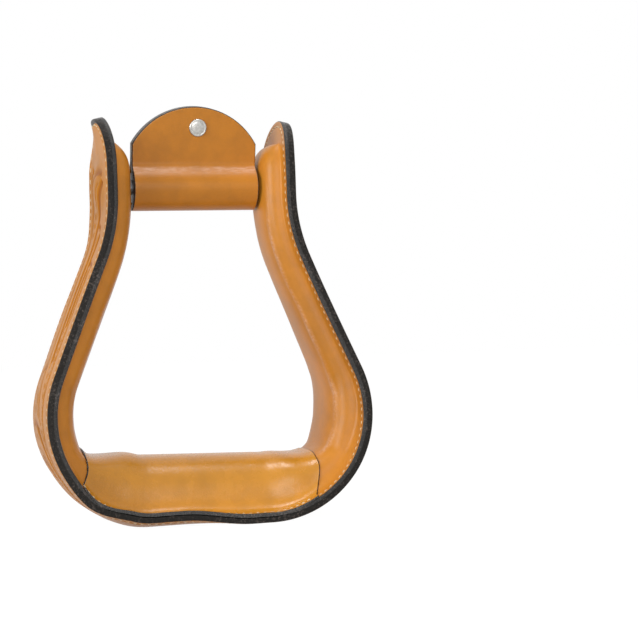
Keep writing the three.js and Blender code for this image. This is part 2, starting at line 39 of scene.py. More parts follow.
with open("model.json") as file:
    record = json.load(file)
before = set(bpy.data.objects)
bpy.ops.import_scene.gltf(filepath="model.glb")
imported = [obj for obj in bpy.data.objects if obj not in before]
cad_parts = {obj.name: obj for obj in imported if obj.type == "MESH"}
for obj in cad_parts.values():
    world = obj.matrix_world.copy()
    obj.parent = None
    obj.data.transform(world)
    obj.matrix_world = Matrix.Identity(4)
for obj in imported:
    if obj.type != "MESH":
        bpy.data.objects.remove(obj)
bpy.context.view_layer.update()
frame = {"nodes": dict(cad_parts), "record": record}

# The bow's shape, in millimetres, as the solids have it. Lengths along the leather are measured from the
# middle of the base, and depths from the outer face of the cover towards the foot opening.
MM = 0.001
BASE_FLAT = 63.0
CORNER_RADIUS = 62.5
LEG_LEAN = np.radians(22.5)
NECK_CLEAR = 75.5
NECK_RADIUS = 92.0
NECK_STRAIGHT = 16.0
FLARE_LENGTH = 28.0
FLARE_RADIUS = 118.0
NECK_WIDTH = 53.4
TREAD_WIDTH = 78.2
TAPER_START = 87.0
TAPER_END_BELOW_TIP = 80.0
TIP_REACH = 34.0
TIP_ROUNDNESS = 2.4
COVER_THICKNESS = 3.2
LINER_THICKNESS = 3.0
TREAD_COVER_THICKNESS = 3.0
BOW_THICKNESS = 10.4
TREAD_HEIGHT = 38.5
SEAT_GAP = 0.3
WRAP_GAP = 0.35
SIDE_GAP = 0.4
MARGIN = 8.0
WOOD_BELOW_TIP = 17.5
WOOD_END_ROUND = 14.0
CROWN_POWER = 2.4
LEATHER_POWER = (2.9, 2.4)
CORNER_BLEND = 14.0
INSET_EASE = 45.0
TREAD_COVER_LENGTH = 138.0
TAIL_LAP = 32.0
BOLT_BULGE = 3.2
BULGE_REACH = 20.0
ROLLER_ABOVE_NECK = 6.0
SLEEVE_RADIUS = 8.7
WRAP_THICKNESS = 3.2
FLAP_TOP = 47.0
FLAP_CORNER = 25.5
FLAP_LEAN = np.radians(12.0)
CREASE_RADIUS = 6.0
RUNNING_GAP = 0.3
BOLT_RADIUS = 4.0
RIVET_BELOW_TOP = 12.1
RIVET_OFF_CENTRE = 1.6

# What the hand left uneven, in millimetres. A span holds the distances along the bow, from the middle of the
# base, where the change before it begins, is full, begins to fade and has ended.
# The left tip grows by these powers of y. The growth begins and is full so far below the tip, and only where
# the leather is free beyond the wood's end or beside it.
TIP_GROWTH = (0.9, -0.1, 0.028)
TIP_GROWTH_BELOW_TIP = (42, 14)
BEYOND_WOOD, BESIDE_WOOD = (0, 7), (14, 20)
# It curls in at the back from this distance to past the tip, by y^2 / (y + softness) over that at the edge.
TIP_CURL = 6.0
TIP_CURL_START, TIP_CURL_PAST_TIP = 278, 3
CURL_SOFTNESS = 5
CURL_AT_EDGE = 22.5
# The left leg's back edge stands in along the lower leg and out along the neck.
BACK_CUP, BACK_CUP_SPAN = 2.2, (55, 95, 140, 200)
BACK_FLARE, BACK_FLARE_SPAN = 1.2, (232, 256, 266, 290)
# The base is lifted on the left by this power of the distance in front of the start, and the left corner is
# let out, less and less between two depths.
FRONT_LIFT, FRONT_LIFT_SPAN = 4.4, (-20, 20, 50, 80)
LIFT_START, LIFT_POWER = 12, 2.2
CORNER_OUT, CORNER_OUT_SPAN, CORNER_OUT_DEPTHS = 1.0, (30, 50, 66, 98), (8, 16)
# The leather lies fuller over the wood up the legs, in the left and right corners and over the left tail.
LEG_SWELL, LEG_SWELL_SPAN = 0.9, (85, 115, 210, 250)
CORNER_SWELL, CORNER_SWELL_SPAN = (0.6, 2.8), (80, 112, 125, 165)
TAIL_SWELL, TAIL_SWELL_SPAN = 5.4, (40, 80, 82, 108)
# The tread falls to the right, less and less towards its ends. The roller's leather hangs under its sleeve
# and has a little less play between the legs than its solid.
TREAD_SLOPE, TREAD_SLOPE_FADE = 0.033, (32, 78)
ROLLER_HANG = 1.3
SIDE_PLAY = 2.1

# How the leathers are pared: the share of its thickness that a lining leather keeps at its edges, how far
# past the tread cover's end a liner gets its whole thickness, and the least share in its tail. Then the
# length over which the tread cover is pared and the share at its cut ends.
EDGE_SHARE = 0.82
TAIL_EASE = 3
SKIVED_TAIL = 0.04
SKIVE_LENGTH = 36
SKIVED_END = 0.24
# How far the edges of the layers sink into each other, so that no slit shows
SLIT_CLOSED = 0.1

LEG_DEPTH = COVER_THICKNESS + SEAT_GAP + BOW_THICKNESS + WRAP_GAP + LINER_THICKNESS
NECK_HALF = NECK_CLEAR / 2 + LEG_DEPTH
CORNER_TURN = np.pi / 2 + LEG_LEAN
CORNER_END = BASE_FLAT / 2 + CORNER_RADIUS * np.sin(CORNER_TURN)
LEG_STRAIGHT = (CORNER_END - NECK_HALF - NECK_RADIUS * (1 - np.cos(LEG_LEAN))) / np.sin(LEG_LEAN)
BOWS = (
    (BASE_FLAT / 2, 0.0),
    (CORNER_RADIUS * CORNER_TURN, 1 / CORNER_RADIUS),
    (LEG_STRAIGHT, 0.0),
    (NECK_RADIUS * LEG_LEAN, -1 / NECK_RADIUS),
    (NECK_STRAIGHT, 0.0),
    (FLARE_LENGTH, -1 / FLARE_RADIUS),
)
BOW_REACH = sum(length for length, _ in BOWS)
STRAIGHT_REACH = BOW_REACH - TIP_REACH
WOOD_FLOOR = COVER_THICKNESS + SEAT_GAP
WOOD_TOP = WOOD_FLOOR + BOW_THICKNESS
CORE_TREAD_TOP = TREAD_HEIGHT - TREAD_COVER_THICKNESS - WRAP_GAP
TREAD_END = BASE_FLAT / 2 + CORNER_RADIUS * np.arctan2(
    (TREAD_COVER_LENGTH - BASE_FLAT) / 2, CORNER_RADIUS - TREAD_HEIGHT
)

# The tread cover's two slanted ends: the side, how far from the middle the cut's foot lies, how far the cut
# bulges half way up, and how far from the middle its top lies. The foot's depth in the bow, and the top's
# above it. Then where the cover's margins end along the bow.
TREAD_CUTS = ((-1, 75.1, -1.8, 71.3), (1, 57.5, 2.6, 63.0))
CUT_FOOT, CUT_RISE = 6.0, 14.0
TREAD_COVER_ENDS = (89.2, 62.5)

# The grids: the radius of a cut edge and the steps round it, the spacing of the points along the leathers and
# across their margins, the steps over a liner and the tread, and how often and how far from the edge the
# crease beside the wood is softened
EDGE_RADIUS = 0.9
EDGE_STEPS = 5
CELL = 1.6
MARGIN_CELL, COVER_MARGIN_CELL = 0.8, 0.62
LINER_STEPS, TREAD_STEPS = 64, 60
EASE_PASSES = 10
EASE_KEEP = 4


# Shapes along the bow


def bow_at(distance):
    """Place and heading of the bow's outer face at signed distances: x, z and the angle of its run.

    The bow is a row of straights and arcs. Each takes its share of the distance, turns the heading by its
    bend times that share, and adds its chord to x and z. The last arc goes on past the tip.
    """
    left = np.abs(distance)
    x, z, heading = np.zeros_like(left), np.zeros_like(left), np.zeros_like(left)
    for length, bend in (*BOWS[:-1], (np.inf, BOWS[-1][1])):
        run = np.clip(left, 0, length)
        turned = heading + run * bend
        if bend:
            x = x + (np.sin(turned) - np.sin(heading)) / bend
            z = z - (np.cos(turned) - np.cos(heading)) / bend
        else:
            x = x + run * np.cos(heading)
            z = z + run * np.sin(heading)
        heading = turned
        left = left - length
    return x, z, heading


def placed(distance, y, depth):
    """Points in millimetres: the bow's outer face at the distance, moved by the depth along its normal."""
    distance, y, depth = np.broadcast_arrays(distance, y, depth)
    distance, depth = hand_worked(distance.astype(float), y, depth)
    side = np.where(distance < 0, -1.0, 1.0)
    x, z, heading = bow_at(distance)
    return np.stack([side * (x - depth * np.sin(heading)), y, z + depth * np.cos(heading)], -1)


def hand_worked(distance, y, depth):
    """The left tip drawn out to an ear at the back, that leg's back edge waved, the base's front edge lifted.

    The tip grows by a + b y + c y^2, with the square only behind the middle, by a smooth step over its last
    millimetres, and beyond the wood's end or beside it. The back edge's depth is a sum of smooth steps along
    the leg times the square of y behind the middle, and at the tip times y^2 / (y + softness). The lift is a
    power of the distance in front of its start.
    """
    reach, left = np.abs(distance), -distance
    behind, ahead = np.maximum(0, y), np.maximum(0, -y - LIFT_START)
    growth = TIP_GROWTH[0] + TIP_GROWTH[1] * y + TIP_GROWTH[2] * behind**2
    past_wood = reach - BOW_REACH + WOOD_BELOW_TIP
    free = np.maximum(smoothstep(*BEYOND_WOOD, past_wood), smoothstep(*BESIDE_WOOD, np.abs(y)))
    start, full = (BOW_REACH - below for below in TIP_GROWTH_BELOW_TIP)
    longer = np.where(left > 0, growth, 0) * free * smoothstep(start, full, reach)
    wave = BACK_CUP * between(BACK_CUP_SPAN, left) - BACK_FLARE * between(BACK_FLARE_SPAN, left)
    curl = TIP_CURL * smoothstep(TIP_CURL_START, BOW_REACH + TIP_CURL_PAST_TIP, left + longer)
    at_back = wave * (behind / half_width(distance)) ** 2
    at_back = at_back + curl * behind**2 / (behind + CURL_SOFTNESS) / CURL_AT_EDGE
    lift = FRONT_LIFT * between(FRONT_LIFT_SPAN, left)
    lift = lift * (ahead / (TREAD_WIDTH / 2 - LIFT_START)) ** LIFT_POWER
    let_out = CORNER_OUT * between(CORNER_OUT_SPAN, left) * (1 - smoothstep(*CORNER_OUT_DEPTHS, depth))
    return distance + np.sign(distance) * longer, depth + at_back + lift - let_out


def smoothstep(low, high, value):
    """0 below low, 1 above high, and 3t^2 - 2t^3 between them."""
    t = np.clip((value - low) / (high - low), 0, 1)
    return t * t * (3 - 2 * t)


def between(span, value):
    """Rises from 0 to 1 between the first two of four values and falls to 0 between the last two."""
    return smoothstep(span[0], span[1], value) * (1 - smoothstep(span[2], span[3], value))


def half_width(distance):
    """Half the leather's width: a smooth step from the tread's to the neck's."""
    share = smoothstep(TAPER_START, BOW_REACH - TAPER_END_BELOW_TIP, np.abs(distance))
    return (TREAD_WIDTH + (NECK_WIDTH - TREAD_WIDTH) * share) / 2


def outline_at(place):
    """The leather's outline: its half width along the bow, then a quarter of a superellipse round the tip."""
    side = np.where(place < 0, -1.0, 1.0)
    turn = np.clip((np.abs(place) - STRAIGHT_REACH) / TIP_REACH, 0, 1) * np.pi / 2
    past = TIP_REACH * np.sin(turn) ** (2 / TIP_ROUNDNESS)
    distance = np.minimum(np.abs(place), STRAIGHT_REACH) + past
    return side * distance, half_width(distance) * np.cos(turn)


def inside_outline(place, inset):
    """Points at a distance inside the outline, along its inward normal, as distance and half width."""
    place, inset = np.broadcast_arrays(np.asarray(place, float), np.asarray(inset, float))
    step = 0.01
    before = outline_at(np.maximum(-BOW_REACH, place - step))
    after = outline_at(np.minimum(BOW_REACH, place + step))
    run, rise = after[0] - before[0], after[1] - before[1]
    size = np.hypot(run, rise)
    distance, half = outline_at(place)
    return distance + inset * rise / size, np.maximum(0, half - inset * run / size)


def tread_share(distance):
    """1 on the tread and 0 on the legs"""
    return 1 - smoothstep(TREAD_END, TREAD_END + INSET_EASE, np.abs(distance))


def tread_cover_end(place):
    """The place on the bow where the tread cover's margin ends, on the side of each place"""
    return np.where(place < 0, *TREAD_COVER_ENDS)


def tail_share(place):
    """How much of a liner's thickness is left: 1 up the leg, skived to nothing under the tread cover"""
    end = tread_cover_end(place)
    return smoothstep(end - TAIL_LAP, end + TAIL_EASE, np.abs(place))


def tread_skive(from_end):
    """How much of the tread cover's thickness is left at distances from its cut end"""
    return SKIVED_END + (1 - SKIVED_END) * smoothstep(0, SKIVE_LENGTH, from_end)


def liner_thickness(place):
    return LINER_THICKNESS * np.maximum(SKIVED_TAIL, tail_share(place))


def tail_lift(place, share=1.0):
    """How far a liner's tail lifts what lies on it, where the liner has that share of its thickness"""
    return (share * LINER_THICKNESS + SEAT_GAP) * tail_share(place)


def wood_crown(distance, lift):
    """Depth of the wood's top: the larger of the bow's thickness and the level tread, with a round corner."""
    _, z, heading = bow_at(distance)
    up, least = np.cos(heading), 0.2
    level = np.where(up > least, (CORE_TREAD_TOP - z) / np.maximum(up, least) - lift, 0)
    near = np.maximum(0, CORNER_BLEND - np.abs(level - WOOD_TOP)) / CORNER_BLEND
    return np.maximum(level, WOOD_TOP) + near * near * CORNER_BLEND / 4


def padding(distance):
    """How much fuller the leather lies over the wood than it must: more in the corners than up the legs"""
    reach = np.abs(distance)
    leg = LEG_SWELL * between(LEG_SWELL_SPAN, reach)
    corner = np.where(distance < 0, *CORNER_SWELL) * between(CORNER_SWELL_SPAN, reach)
    return leg + corner + TAIL_SWELL * between(TAIL_SWELL_SPAN, -distance)


def end_share(distance, spread):
    """How much of its height the crown has: 1, and a superellipse down to 0 round the wood's end"""
    full_at = WOOD_BELOW_TIP + WOOD_END_ROUND
    short = (full_at - (BOW_REACH - np.abs(distance))) / (WOOD_END_ROUND + spread)
    return np.sqrt(np.maximum(0, 1 - np.maximum(0, short) ** CROWN_POWER))


def margin_columns(radius, inner):
    """Insets of the margin's columns from the edge inwards, and how far each lies under the face.

    They follow a quarter circle from the cut edge onto the face, and then the inner insets.
    """
    turn = np.linspace(0, np.pi / 2, EDGE_STEPS)
    drop = np.concatenate([radius * (1 - np.sin(turn)), np.zeros(len(inner))])
    return np.concatenate([radius * (1 - np.cos(turn)), inner]), drop


def seam_margin(spacing):
    """The margin's columns of a sewn leather, at about that spacing, as far as the wood"""
    steps = int((MARGIN - EDGE_RADIUS) / spacing)
    return margin_columns(EDGE_RADIUS, np.linspace(EDGE_RADIUS, MARGIN, steps + 1)[1:])


def eased(line):
    """Softens creases: each pass moves a point halfway to the middle of its neighbours in its row."""
    for _ in range(EASE_PASSES):
        middle = (line[:, EASE_KEEP - 1 : -EASE_KEEP - 1] + line[:, EASE_KEEP + 1 : 1 - EASE_KEEP]) / 2
        line[:, EASE_KEEP:-EASE_KEEP] = (line[:, EASE_KEEP:-EASE_KEEP] + middle) / 2
    return line


def wrapped_layer(place, base, crown, spread, margin, angles, thick=1.0):
    """A leather moulded over the wood, as distance, y and depth for each place and column.

    The margins lie flat on base at fixed insets. Between them the depth is base + (crown - base) times
    sin(angle)^(2/second power) and y is the half width times |cos(angle)|^(2/first power), so the section
    is a superellipse. The crease where they meet is then softened across the leather. The rounding of the
    cut edges shrinks with thick, the share of its thickness that the leather has.
    """
    insets, drop = margin
    count = len(insets)
    shape = (len(place), 2 * count + len(angles))
    together = (place, base, crown, spread, thick)
    place, base, crown, spread, thick = (np.broadcast_to(value, shape) for value in together)
    middle = np.s_[:, count : shape[1] - count]
    front, front_half = inside_outline(place[:, :count], insets)
    back, back_half = inside_outline(place[:, -count:], insets[::-1])
    foot, foot_half = inside_outline(place[middle], MARGIN)
    full_half = half_width(foot) - MARGIN
    inset = SIDE_GAP + LINER_THICKNESS + tread_share(foot) * (SEAT_GAP + TREAD_COVER_THICKNESS)
    across = np.cos(angles)
    crown_half = foot_half * (1 - (inset - spread[middle]) / full_half)
    y = -crown_half * np.sign(across) * np.abs(across) ** (2 / LEATHER_POWER[0])
    rise = (crown - base)[middle] * end_share(foot, spread[middle])
    line = np.concatenate([
        np.stack([front, -front_half, base[:, :count] - drop * thick[:, :count]], -1),
        np.stack([foot, y, base[middle] + rise * np.sin(angles) ** (2 / LEATHER_POWER[1])], -1),
        np.stack([back, back_half, base[:, -count:] - drop[::-1] * thick[:, -count:]], -1),
    ], 1)
    return eased(line)


# Meshes

MERGE_DISTANCE = 1e-6
FLAT_DISTANCE = 1e-7
SHARP_ANGLE = np.radians(66)


def mesh_object(name, points, faces, values=None):
    """A piece from points in millimetres, its faces, and a value per point for each attribute"""
    mesh = bpy.data.meshes.new(name)
    mesh.from_pydata((points.reshape(-1, 3) * MM).tolist(), [], faces.tolist())
    for key, value in (values or {}).items():
        layer = mesh.attributes.new(key, "FLOAT", "POINT")
        layer.data.foreach_set("value", np.asarray(value, np.float32).ravel())
    shaped = bmesh.new()
    shaped.from_mesh(mesh)
    bmesh.ops.remove_doubles(shaped, verts=shaped.verts, dist=MERGE_DISTANCE)
    bmesh.ops.dissolve_degenerate(shaped, edges=shaped.edges, dist=FLAT_DISTANCE)
    if shaped.calc_volume(signed=True) < 0:
        bmesh.ops.reverse_faces(shaped, faces=shaped.faces)
    shaped.to_mesh(mesh)
    shaped.free()
    mesh.polygons.foreach_set("use_smooth", np.ones(len(mesh.polygons), bool))
    mesh.set_sharp_from_angle(angle=SHARP_ANGLE)
    piece = bpy.data.objects.new(name, mesh)
    bpy.context.scene.collection.objects.link(piece)
    return piece


def ring_faces(rows, columns, first=0):
    """Quads of a grid whose last column joins its first."""
    row, column = np.meshgrid(np.arange(rows - 1), np.arange(columns), indexing="ij")
    beside = (column + 1) % columns
    corners = (row * columns + column, row * columns + beside)
    corners += ((row + 1) * columns + beside, (row + 1) * columns + column)
    return np.stack(corners, -1).reshape(-1, 4) + first


def shell(name, over, under, values, cap_first=False, cap_last=False):
    """A closed leather from its two faces, which are grids in the same rows. A capped end closes flat."""
    hidden = under.shape[1]
    ring = np.concatenate([over, under[:, ::-1]], 1)
    extra = {key: np.concatenate([value, rim_values(value, hidden)], 1) for key, value in values.items()}
    if cap_first:
        ring = np.concatenate([folded(over[:1], hidden), ring])
        extra = {key: np.concatenate([value[:1], value]) for key, value in extra.items()}
    if cap_last:
        ring = np.concatenate([ring, folded(over[-1:], hidden)])
        extra = {key: np.concatenate([value, value[-1:]]) for key, value in extra.items()}
    return mesh_object(name, ring, ring_faces(*ring.shape[:2]), extra)


def rim_values(value, columns):
    """Values of the hidden side: those of the cut edge on its rim, and 0 between"""
    hidden = np.zeros((len(value), columns))
    hidden[:, 0], hidden[:, -1] = value[:, -1], value[:, 0]
    return hidden


def folded(row, columns):
    """A row whose under side lies on its over side, so that the strip up to it is the end's cap."""
    back = row[:, ::-1]
    return np.concatenate([row, back[:, :columns]], 1)


# Finishes


class Value:
    """A value in a material's node tree. Arithmetic on it adds Math nodes, with numbers on either side."""

    def __init__(self, finish, socket):
        self.finish = finish
        self.socket = socket

    def math(self, operation, *values):
        return self.finish.node("ShaderNodeMath", {"operation": operation}, dict(enumerate(values)))

    def __add__(self, other):
        return self.math("ADD", self, other)

    def __sub__(self, other):
        return self.math("SUBTRACT", self, other)

    def __rsub__(self, other):
        return self.math("SUBTRACT", other, self)

    def __mul__(self, other):
        return self.math("MULTIPLY", self, other)

    def __pow__(self, other):
        return self.math("POWER", self, other)

    __radd__ = __add__
    __rmul__ = __mul__

    def largest(self, other):
        return self.math("MAXIMUM", self, other)

    def ramp(self, low, high):
        """0 at low and 1 at high, clamped, with a soft start and end"""
        settings = {"interpolation_type": "SMOOTHSTEP"}
        return self.finish.node("ShaderNodeMapRange", settings, {"Value": self, 1: low, 2: high})


class Finish:
    """The nodes of a material or a world. One method adds each: its type, its settings, and what feeds it."""

    def __init__(self, owner):
        self.owner = owner
        owner.use_nodes = True
        self.tree = owner.node_tree
        self.tree.nodes.clear()

    def node(self, kind, settings=None, feeds=None, output=0):
        made = self.tree.nodes.new(kind)
        for key, setting in (settings or {}).items():
            setattr(made, key, setting)
        for key, feed in (feeds or {}).items():
            if isinstance(feed, Value):
                self.tree.links.new(feed.socket, made.inputs[key])
            else:
                made.inputs[key].default_value = feed
        return Value(self, made.outputs[output])

    def here(self):
        return self.node("ShaderNodeTexCoord", output="Object")

    def stretched(self, scale):
        return self.node("ShaderNodeMapping", None, {"Vector": self.here(), "Scale": scale})

    def noise(self, scale, detail=3.0, roughness=0.5, at=None):
        feeds = {"Vector": at or self.here(), "Scale": scale, "Detail": detail, "Roughness": roughness}
        return self.node("ShaderNodeTexNoise", None, feeds)

    def cells(self, scale):
        return self.node("ShaderNodeTexVoronoi", None, {"Vector": self.here(), "Scale": scale})

    def attribute(self, name):
        return self.node("ShaderNodeAttribute", {"attribute_name": name}, output="Fac")

    def blend(self, share, first, second):
        """The first colour where share is 0 and the second where it is 1"""
        return self.node("ShaderNodeMix", {"data_type": "RGBA"}, {0: share, 6: first, 7: second}, output=2)

    def bump(self, height, strength, distance, under=None):
        feeds = {"Strength": strength, "Distance": distance, "Height": height}
        if under:
            feeds["Normal"] = under
        return self.node("ShaderNodeBump", None, feeds)

    def shade(self, **feeds):
        """Ends the material in a Principled shader with these inputs, named with _ for a space."""
        named = {key.replace("_", " "): feed for key, feed in feeds.items()}
        return self.end(self.node("ShaderNodeBsdfPrincipled", None, named))

    def end(self, shader, kind="ShaderNodeOutputMaterial"):
        self.tree.links.new(shader.socket, self.tree.nodes.new(kind).inputs["Surface"])
        return self.owner


def new_material(name):
    return Finish(bpy.data.materials.new(name))


def rgba(colour):
    return (*colour, 1.0)


def leather_finish(name, look, colour, gloss, roughness):
    """Waxed russet leather: cloudy tone, fine grain and pores, cuts darkened by burnish and painted shade, a
    painted highlight along creases, painted shade in the stitch holes, black dressed edges with scuffs.
    """
    finish = new_material(name)
    cloud = finish.noise(14.0)
    mottle = finish.noise(95.0, detail=4.0, roughness=0.6)
    grain = finish.noise(900.0, detail=4.0, roughness=0.65)
    pores = finish.cells(1500.0)
    cut = finish.attribute("cut")
    edge = finish.attribute("edge")
    crease = finish.attribute("crease")
    hole = stitch_hole(finish)

    base = np.array(colour)
    clouded = (cloud * 0.65 + mottle * 0.35).ramp(0.36, 0.66)
    light = finish.blend(clouded, rgba(base * look.dark_cloud), rgba(base * look.light_cloud))
    # The cuts darken with their depth: the burnish of the pressed leather, and painted shade in the hollows
    cut_burnish_and_shade = finish.blend(cut.ramp(0.0, 1.0) * look.cut_shade, light, rgba(look.cut_colour))
    speckled = finish.blend(grain.ramp(0.62, 0.75) * 0.14, cut_burnish_and_shade, rgba(base * 0.5))
    # Painted shade in the stitch holes: a dark dot at each
    hole_shaded = finish.blend(hole, speckled, rgba(look.hole_shade_colour))

    # Painted highlight: a paler colour along the creases and the liners' shoulder ridges, where the light
    # catches them, broken up by the wrinkle noise
    along_crease = finish.stretched((180.0, 700.0, 700.0))
    wrinkle = finish.noise(1.0, detail=4.0, roughness=0.6, at=along_crease)
    # Strength of the painted highlight along a crease
    waxed = crease * (0.35 + wrinkle.ramp(0.42, 0.66) * 0.65) * look.crease_highlight_strength
    crease_highlighted = finish.blend(waxed, hole_shaded, rgba(look.crease_highlight_colour))

    scuff = finish.noise(750.0, detail=5.0, roughness=0.7)
    streak = finish.noise(60.0, detail=2.0)
    worn = (scuff * 0.75 + streak * 0.25).ramp(0.5, 0.68)
    black = finish.blend(worn * look.edge_scuffs, rgba(look.edge_colour), rgba(look.edge_wear))
    border = edge + (scuff - 0.5) * 0.3 + (streak - 0.5) * 0.2
    dressed = border.ramp(look.edge_reach - 0.07, look.edge_reach + 0.07)
    fringe = border.ramp(look.edge_reach - 0.3, look.edge_reach - 0.05) * (1 - dressed)
    rubbed = finish.blend(fringe * scuff.ramp(0.5, 0.62) * 0.6, crease_highlighted, rgba(look.fringe_colour))
    colour = finish.blend(dressed, rubbed, black)

    roughness = roughness + (mottle - 0.5) * 0.16 - dressed * 0.08 + cut * 0.08
    height = grain * 0.5 + pores * 0.35 + mottle * 0.6
    normal = finish.bump(height, look.grain, 0.0004)
    wrinkled = finish.bump(wrinkle * crease, 0.55, 0.0007, normal)
    rough_edge = finish.bump((scuff + streak) * dressed, 0.6, 0.0008, wrinkled)
    return finish.shade(Base_Color=colour, Roughness=roughness, Normal=rough_edge, Specular_IOR_Level=gloss)


def stitch_hole(finish):
    """1 where the awl went through, where the holes' painted shade goes: near a whole count along the seam,
    at the seam's inset
    """
    count = finish.attribute("stitch")
    inset = finish.attribute("inset")
    nearest = count - count.math("ROUND", count)
    along = nearest * SEAM_PITCH
    across = inset - SEAM_INSET
    away = (along * along + across * across) ** 0.5
    return 1 - away.ramp(*HOLE_RADII)


def thread_finish(look):
    """Waxed linen thread: cream strands twisted round each other, with painted shade between them"""
    finish = new_material("waxed_linen")
    feeds = {"Vector": finish.here(), "Scale": 700.0, "Distortion": 2.0}
    twist = finish.node("ShaderNodeTexWave", {"bands_direction": "DIAGONAL"}, feeds)
    soil = finish.noise(500.0)
    strand = np.array(look.thread)
    # Painted shade: the grooves between the twisted strands are darkened
    colour = finish.blend(twist * 0.5, rgba(strand), rgba(strand * 0.72))
    soiled = finish.blend(soil.ramp(0.5, 0.75) * 0.5, colour, rgba(strand * (0.6, 0.5, 0.38)))
    normal = finish.bump(twist, 0.5, 0.0002)
    return finish.shade(Base_Color=soiled, Roughness=0.62 + soil * 0.15, Normal=normal)


def metal_finish(name, colour, roughness, scratches):
    """Plated steel: fine turning scratches and a clouded sheen"""
    finish = new_material(name)
    cloud = finish.noise(700.0, detail=4.0, roughness=0.6)
    fine = finish.noise(4200.0, detail=2.0)
    worn = finish.blend(cloud.ramp(0.35, 0.7), rgba(colour), rgba(np.array(colour) * 0.72))
    clouded = roughness + (cloud - 0.5) * 0.25
    normal = finish.bump(fine, scratches, 0.0001)
    return finish.shade(Base_Color=worn, Roughness=clouded, Metallic=0.92, Normal=normal)


def wood_finish():
    """Bent hardwood, unfinished: rings stretched along the grain, with darker pores"""
    finish = new_material("hardwood")
    stretched = finish.stretched((6.0, 160.0, 30.0))
    rings = finish.noise(1.0, detail=4.0, roughness=0.6, at=stretched)
    pores = finish.noise(5.0, roughness=0.7, at=stretched)
    colour = finish.blend(rings.ramp(0.35, 0.65), (0.36, 0.21, 0.09, 1), (0.58, 0.39, 0.2, 1))
    darker = finish.blend(pores.ramp(0.55, 0.8) * 0.5, colour, (0.2, 0.11, 0.05, 1))
    normal = finish.bump(pores, 0.4, 0.0003)
    return finish.shade(Base_Color=darker, Roughness=0.6 + rings * 0.2, Normal=normal)


# Seams, in millimetres: how far inside the edge they run, a stitch's length, the share of it between a hole
# and the thread's way out, how deep the thread's middle lies in a flat face, how much wider than high the
# thread is, where a hole's painted shade ends and the bare leather begins, and how deep the seam's groove is
SEAM_INSET = 3.3
STITCH_LENGTH = 4.2
HOLE_SHARE = 0.14
THREAD_SUNK = 0.6
THREAD_FLATTENED = 1.1
HOLE_RADII = (0.3, 0.62)
GROOVE_DEPTH = 0.5
SEAM_PLACES = np.linspace(0, BOW_REACH, 1200)


def seam_lengths(inset):
    """Length of the seam from the middle of the base to each of the seam's places, on the outer face"""
    points = placed(*inside_outline(SEAM_PLACES, inset), 0.0)
    steps = np.linalg.norm(np.diff(points, axis=0), axis=1)
    return np.concatenate([[0], np.cumsum(steps)])


SEAM_LENGTHS = seam_lengths(SEAM_INSET)
SEAM_COUNT = int(round(SEAM_LENGTHS[-1] / STITCH_LENGTH))
SEAM_PITCH = SEAM_LENGTHS[-1] / SEAM_COUNT


def stitch_count(place):
    """How many stitches lie between the middle of the base and a place"""
    return np.interp(np.abs(place), SEAM_PLACES, SEAM_LENGTHS) / SEAM_PITCH


def stitch_place(count):
    """The place on the leather that many stitches from the middle of the base"""
    return np.interp(count * SEAM_PITCH, SEAM_LENGTHS, SEAM_PLACES)


def stitch_row(counts, leg, side, depth, outward, look):
    """Stitches between whole counts, as grids of points: rings round a line that dips into both holes.

    A stitch runs from count + hole to count + 1 - hole, leans a little across the seam, stands
    radius * (1.5 sin(pi t) - 0.5) above the leather and is radius * sin(pi t)^0.4 thick.
    """
    t = np.linspace(0, 1, 7)[None, :]
    run = counts[:, None] + HOLE_SHARE + (1 - 2 * HOLE_SHARE) * t
    at = leg * stitch_place(run)
    inset = SEAM_INSET + look.stitch_lean / MM * (t - 0.5) * side
    radius = look.thread_radius / MM
    level = depth(at) + outward * radius * (1.5 * np.sin(np.pi * t) - 0.5)
    middle = placed(*signed_inside(at, inset, side), level)
    ahead = np.gradient(middle, axis=1)
    ahead /= np.linalg.norm(ahead, axis=-1, keepdims=True)
    up = placed(*signed_inside(at, inset, side), level + outward) - middle
    beside = np.cross(ahead, up)
    beside /= np.linalg.norm(beside, axis=-1, keepdims=True)
    up = np.cross(beside, ahead)
    thick = np.broadcast_to(radius * np.sin(np.pi * t) ** 0.4, run.shape)[..., None, None]
    angle = np.linspace(0, 2 * np.pi, 6, endpoint=False)[:, None]
    ring = np.cos(angle) * beside[:, :, None] * THREAD_FLATTENED + np.sin(angle) * up[:, :, None]
    return middle[:, :, None] + thick * ring


def signed_inside(place, inset, side):
    distance, half = inside_outline(place, inset)
    return distance, side * half


def liner_seam_depth(place):
    """Where the thread's middle lies when it is pulled into a liner's face"""
    return WOOD_FLOOR + EDGE_SHARE * liner_thickness(place) - THREAD_SUNK


def tread_seam_depth(place):
    """The same on the tread cover's margin"""
    skive = tread_skive(tread_cover_end(place) - np.abs(place))
    face = WOOD_FLOOR + tail_lift(place, EDGE_SHARE) + EDGE_SHARE * TREAD_COVER_THICKNESS * skive
    return face - SLIT_CLOSED - (THREAD_SUNK - SLIT_CLOSED) * skive


def add_stitches(name, runs):
    """One piece of separate stitches from grids of rings, each stitch closed to a point at both ends."""
    rings = np.concatenate(runs)
    count, length, sides = rings.shape[:3]
    one = ring_faces(length, sides)
    faces = (one[None] + np.arange(count)[:, None, None] * length * sides).reshape(-1, 4)
    return mesh_object(name, rings, faces)


# Leaf and scroll tooling of the outer panels, as lines of (y, distance up the leg) in millimetres. A bevel
# has the side that is pressed down, 1 for the left of its run and -1 for the right, and how far that reaches.

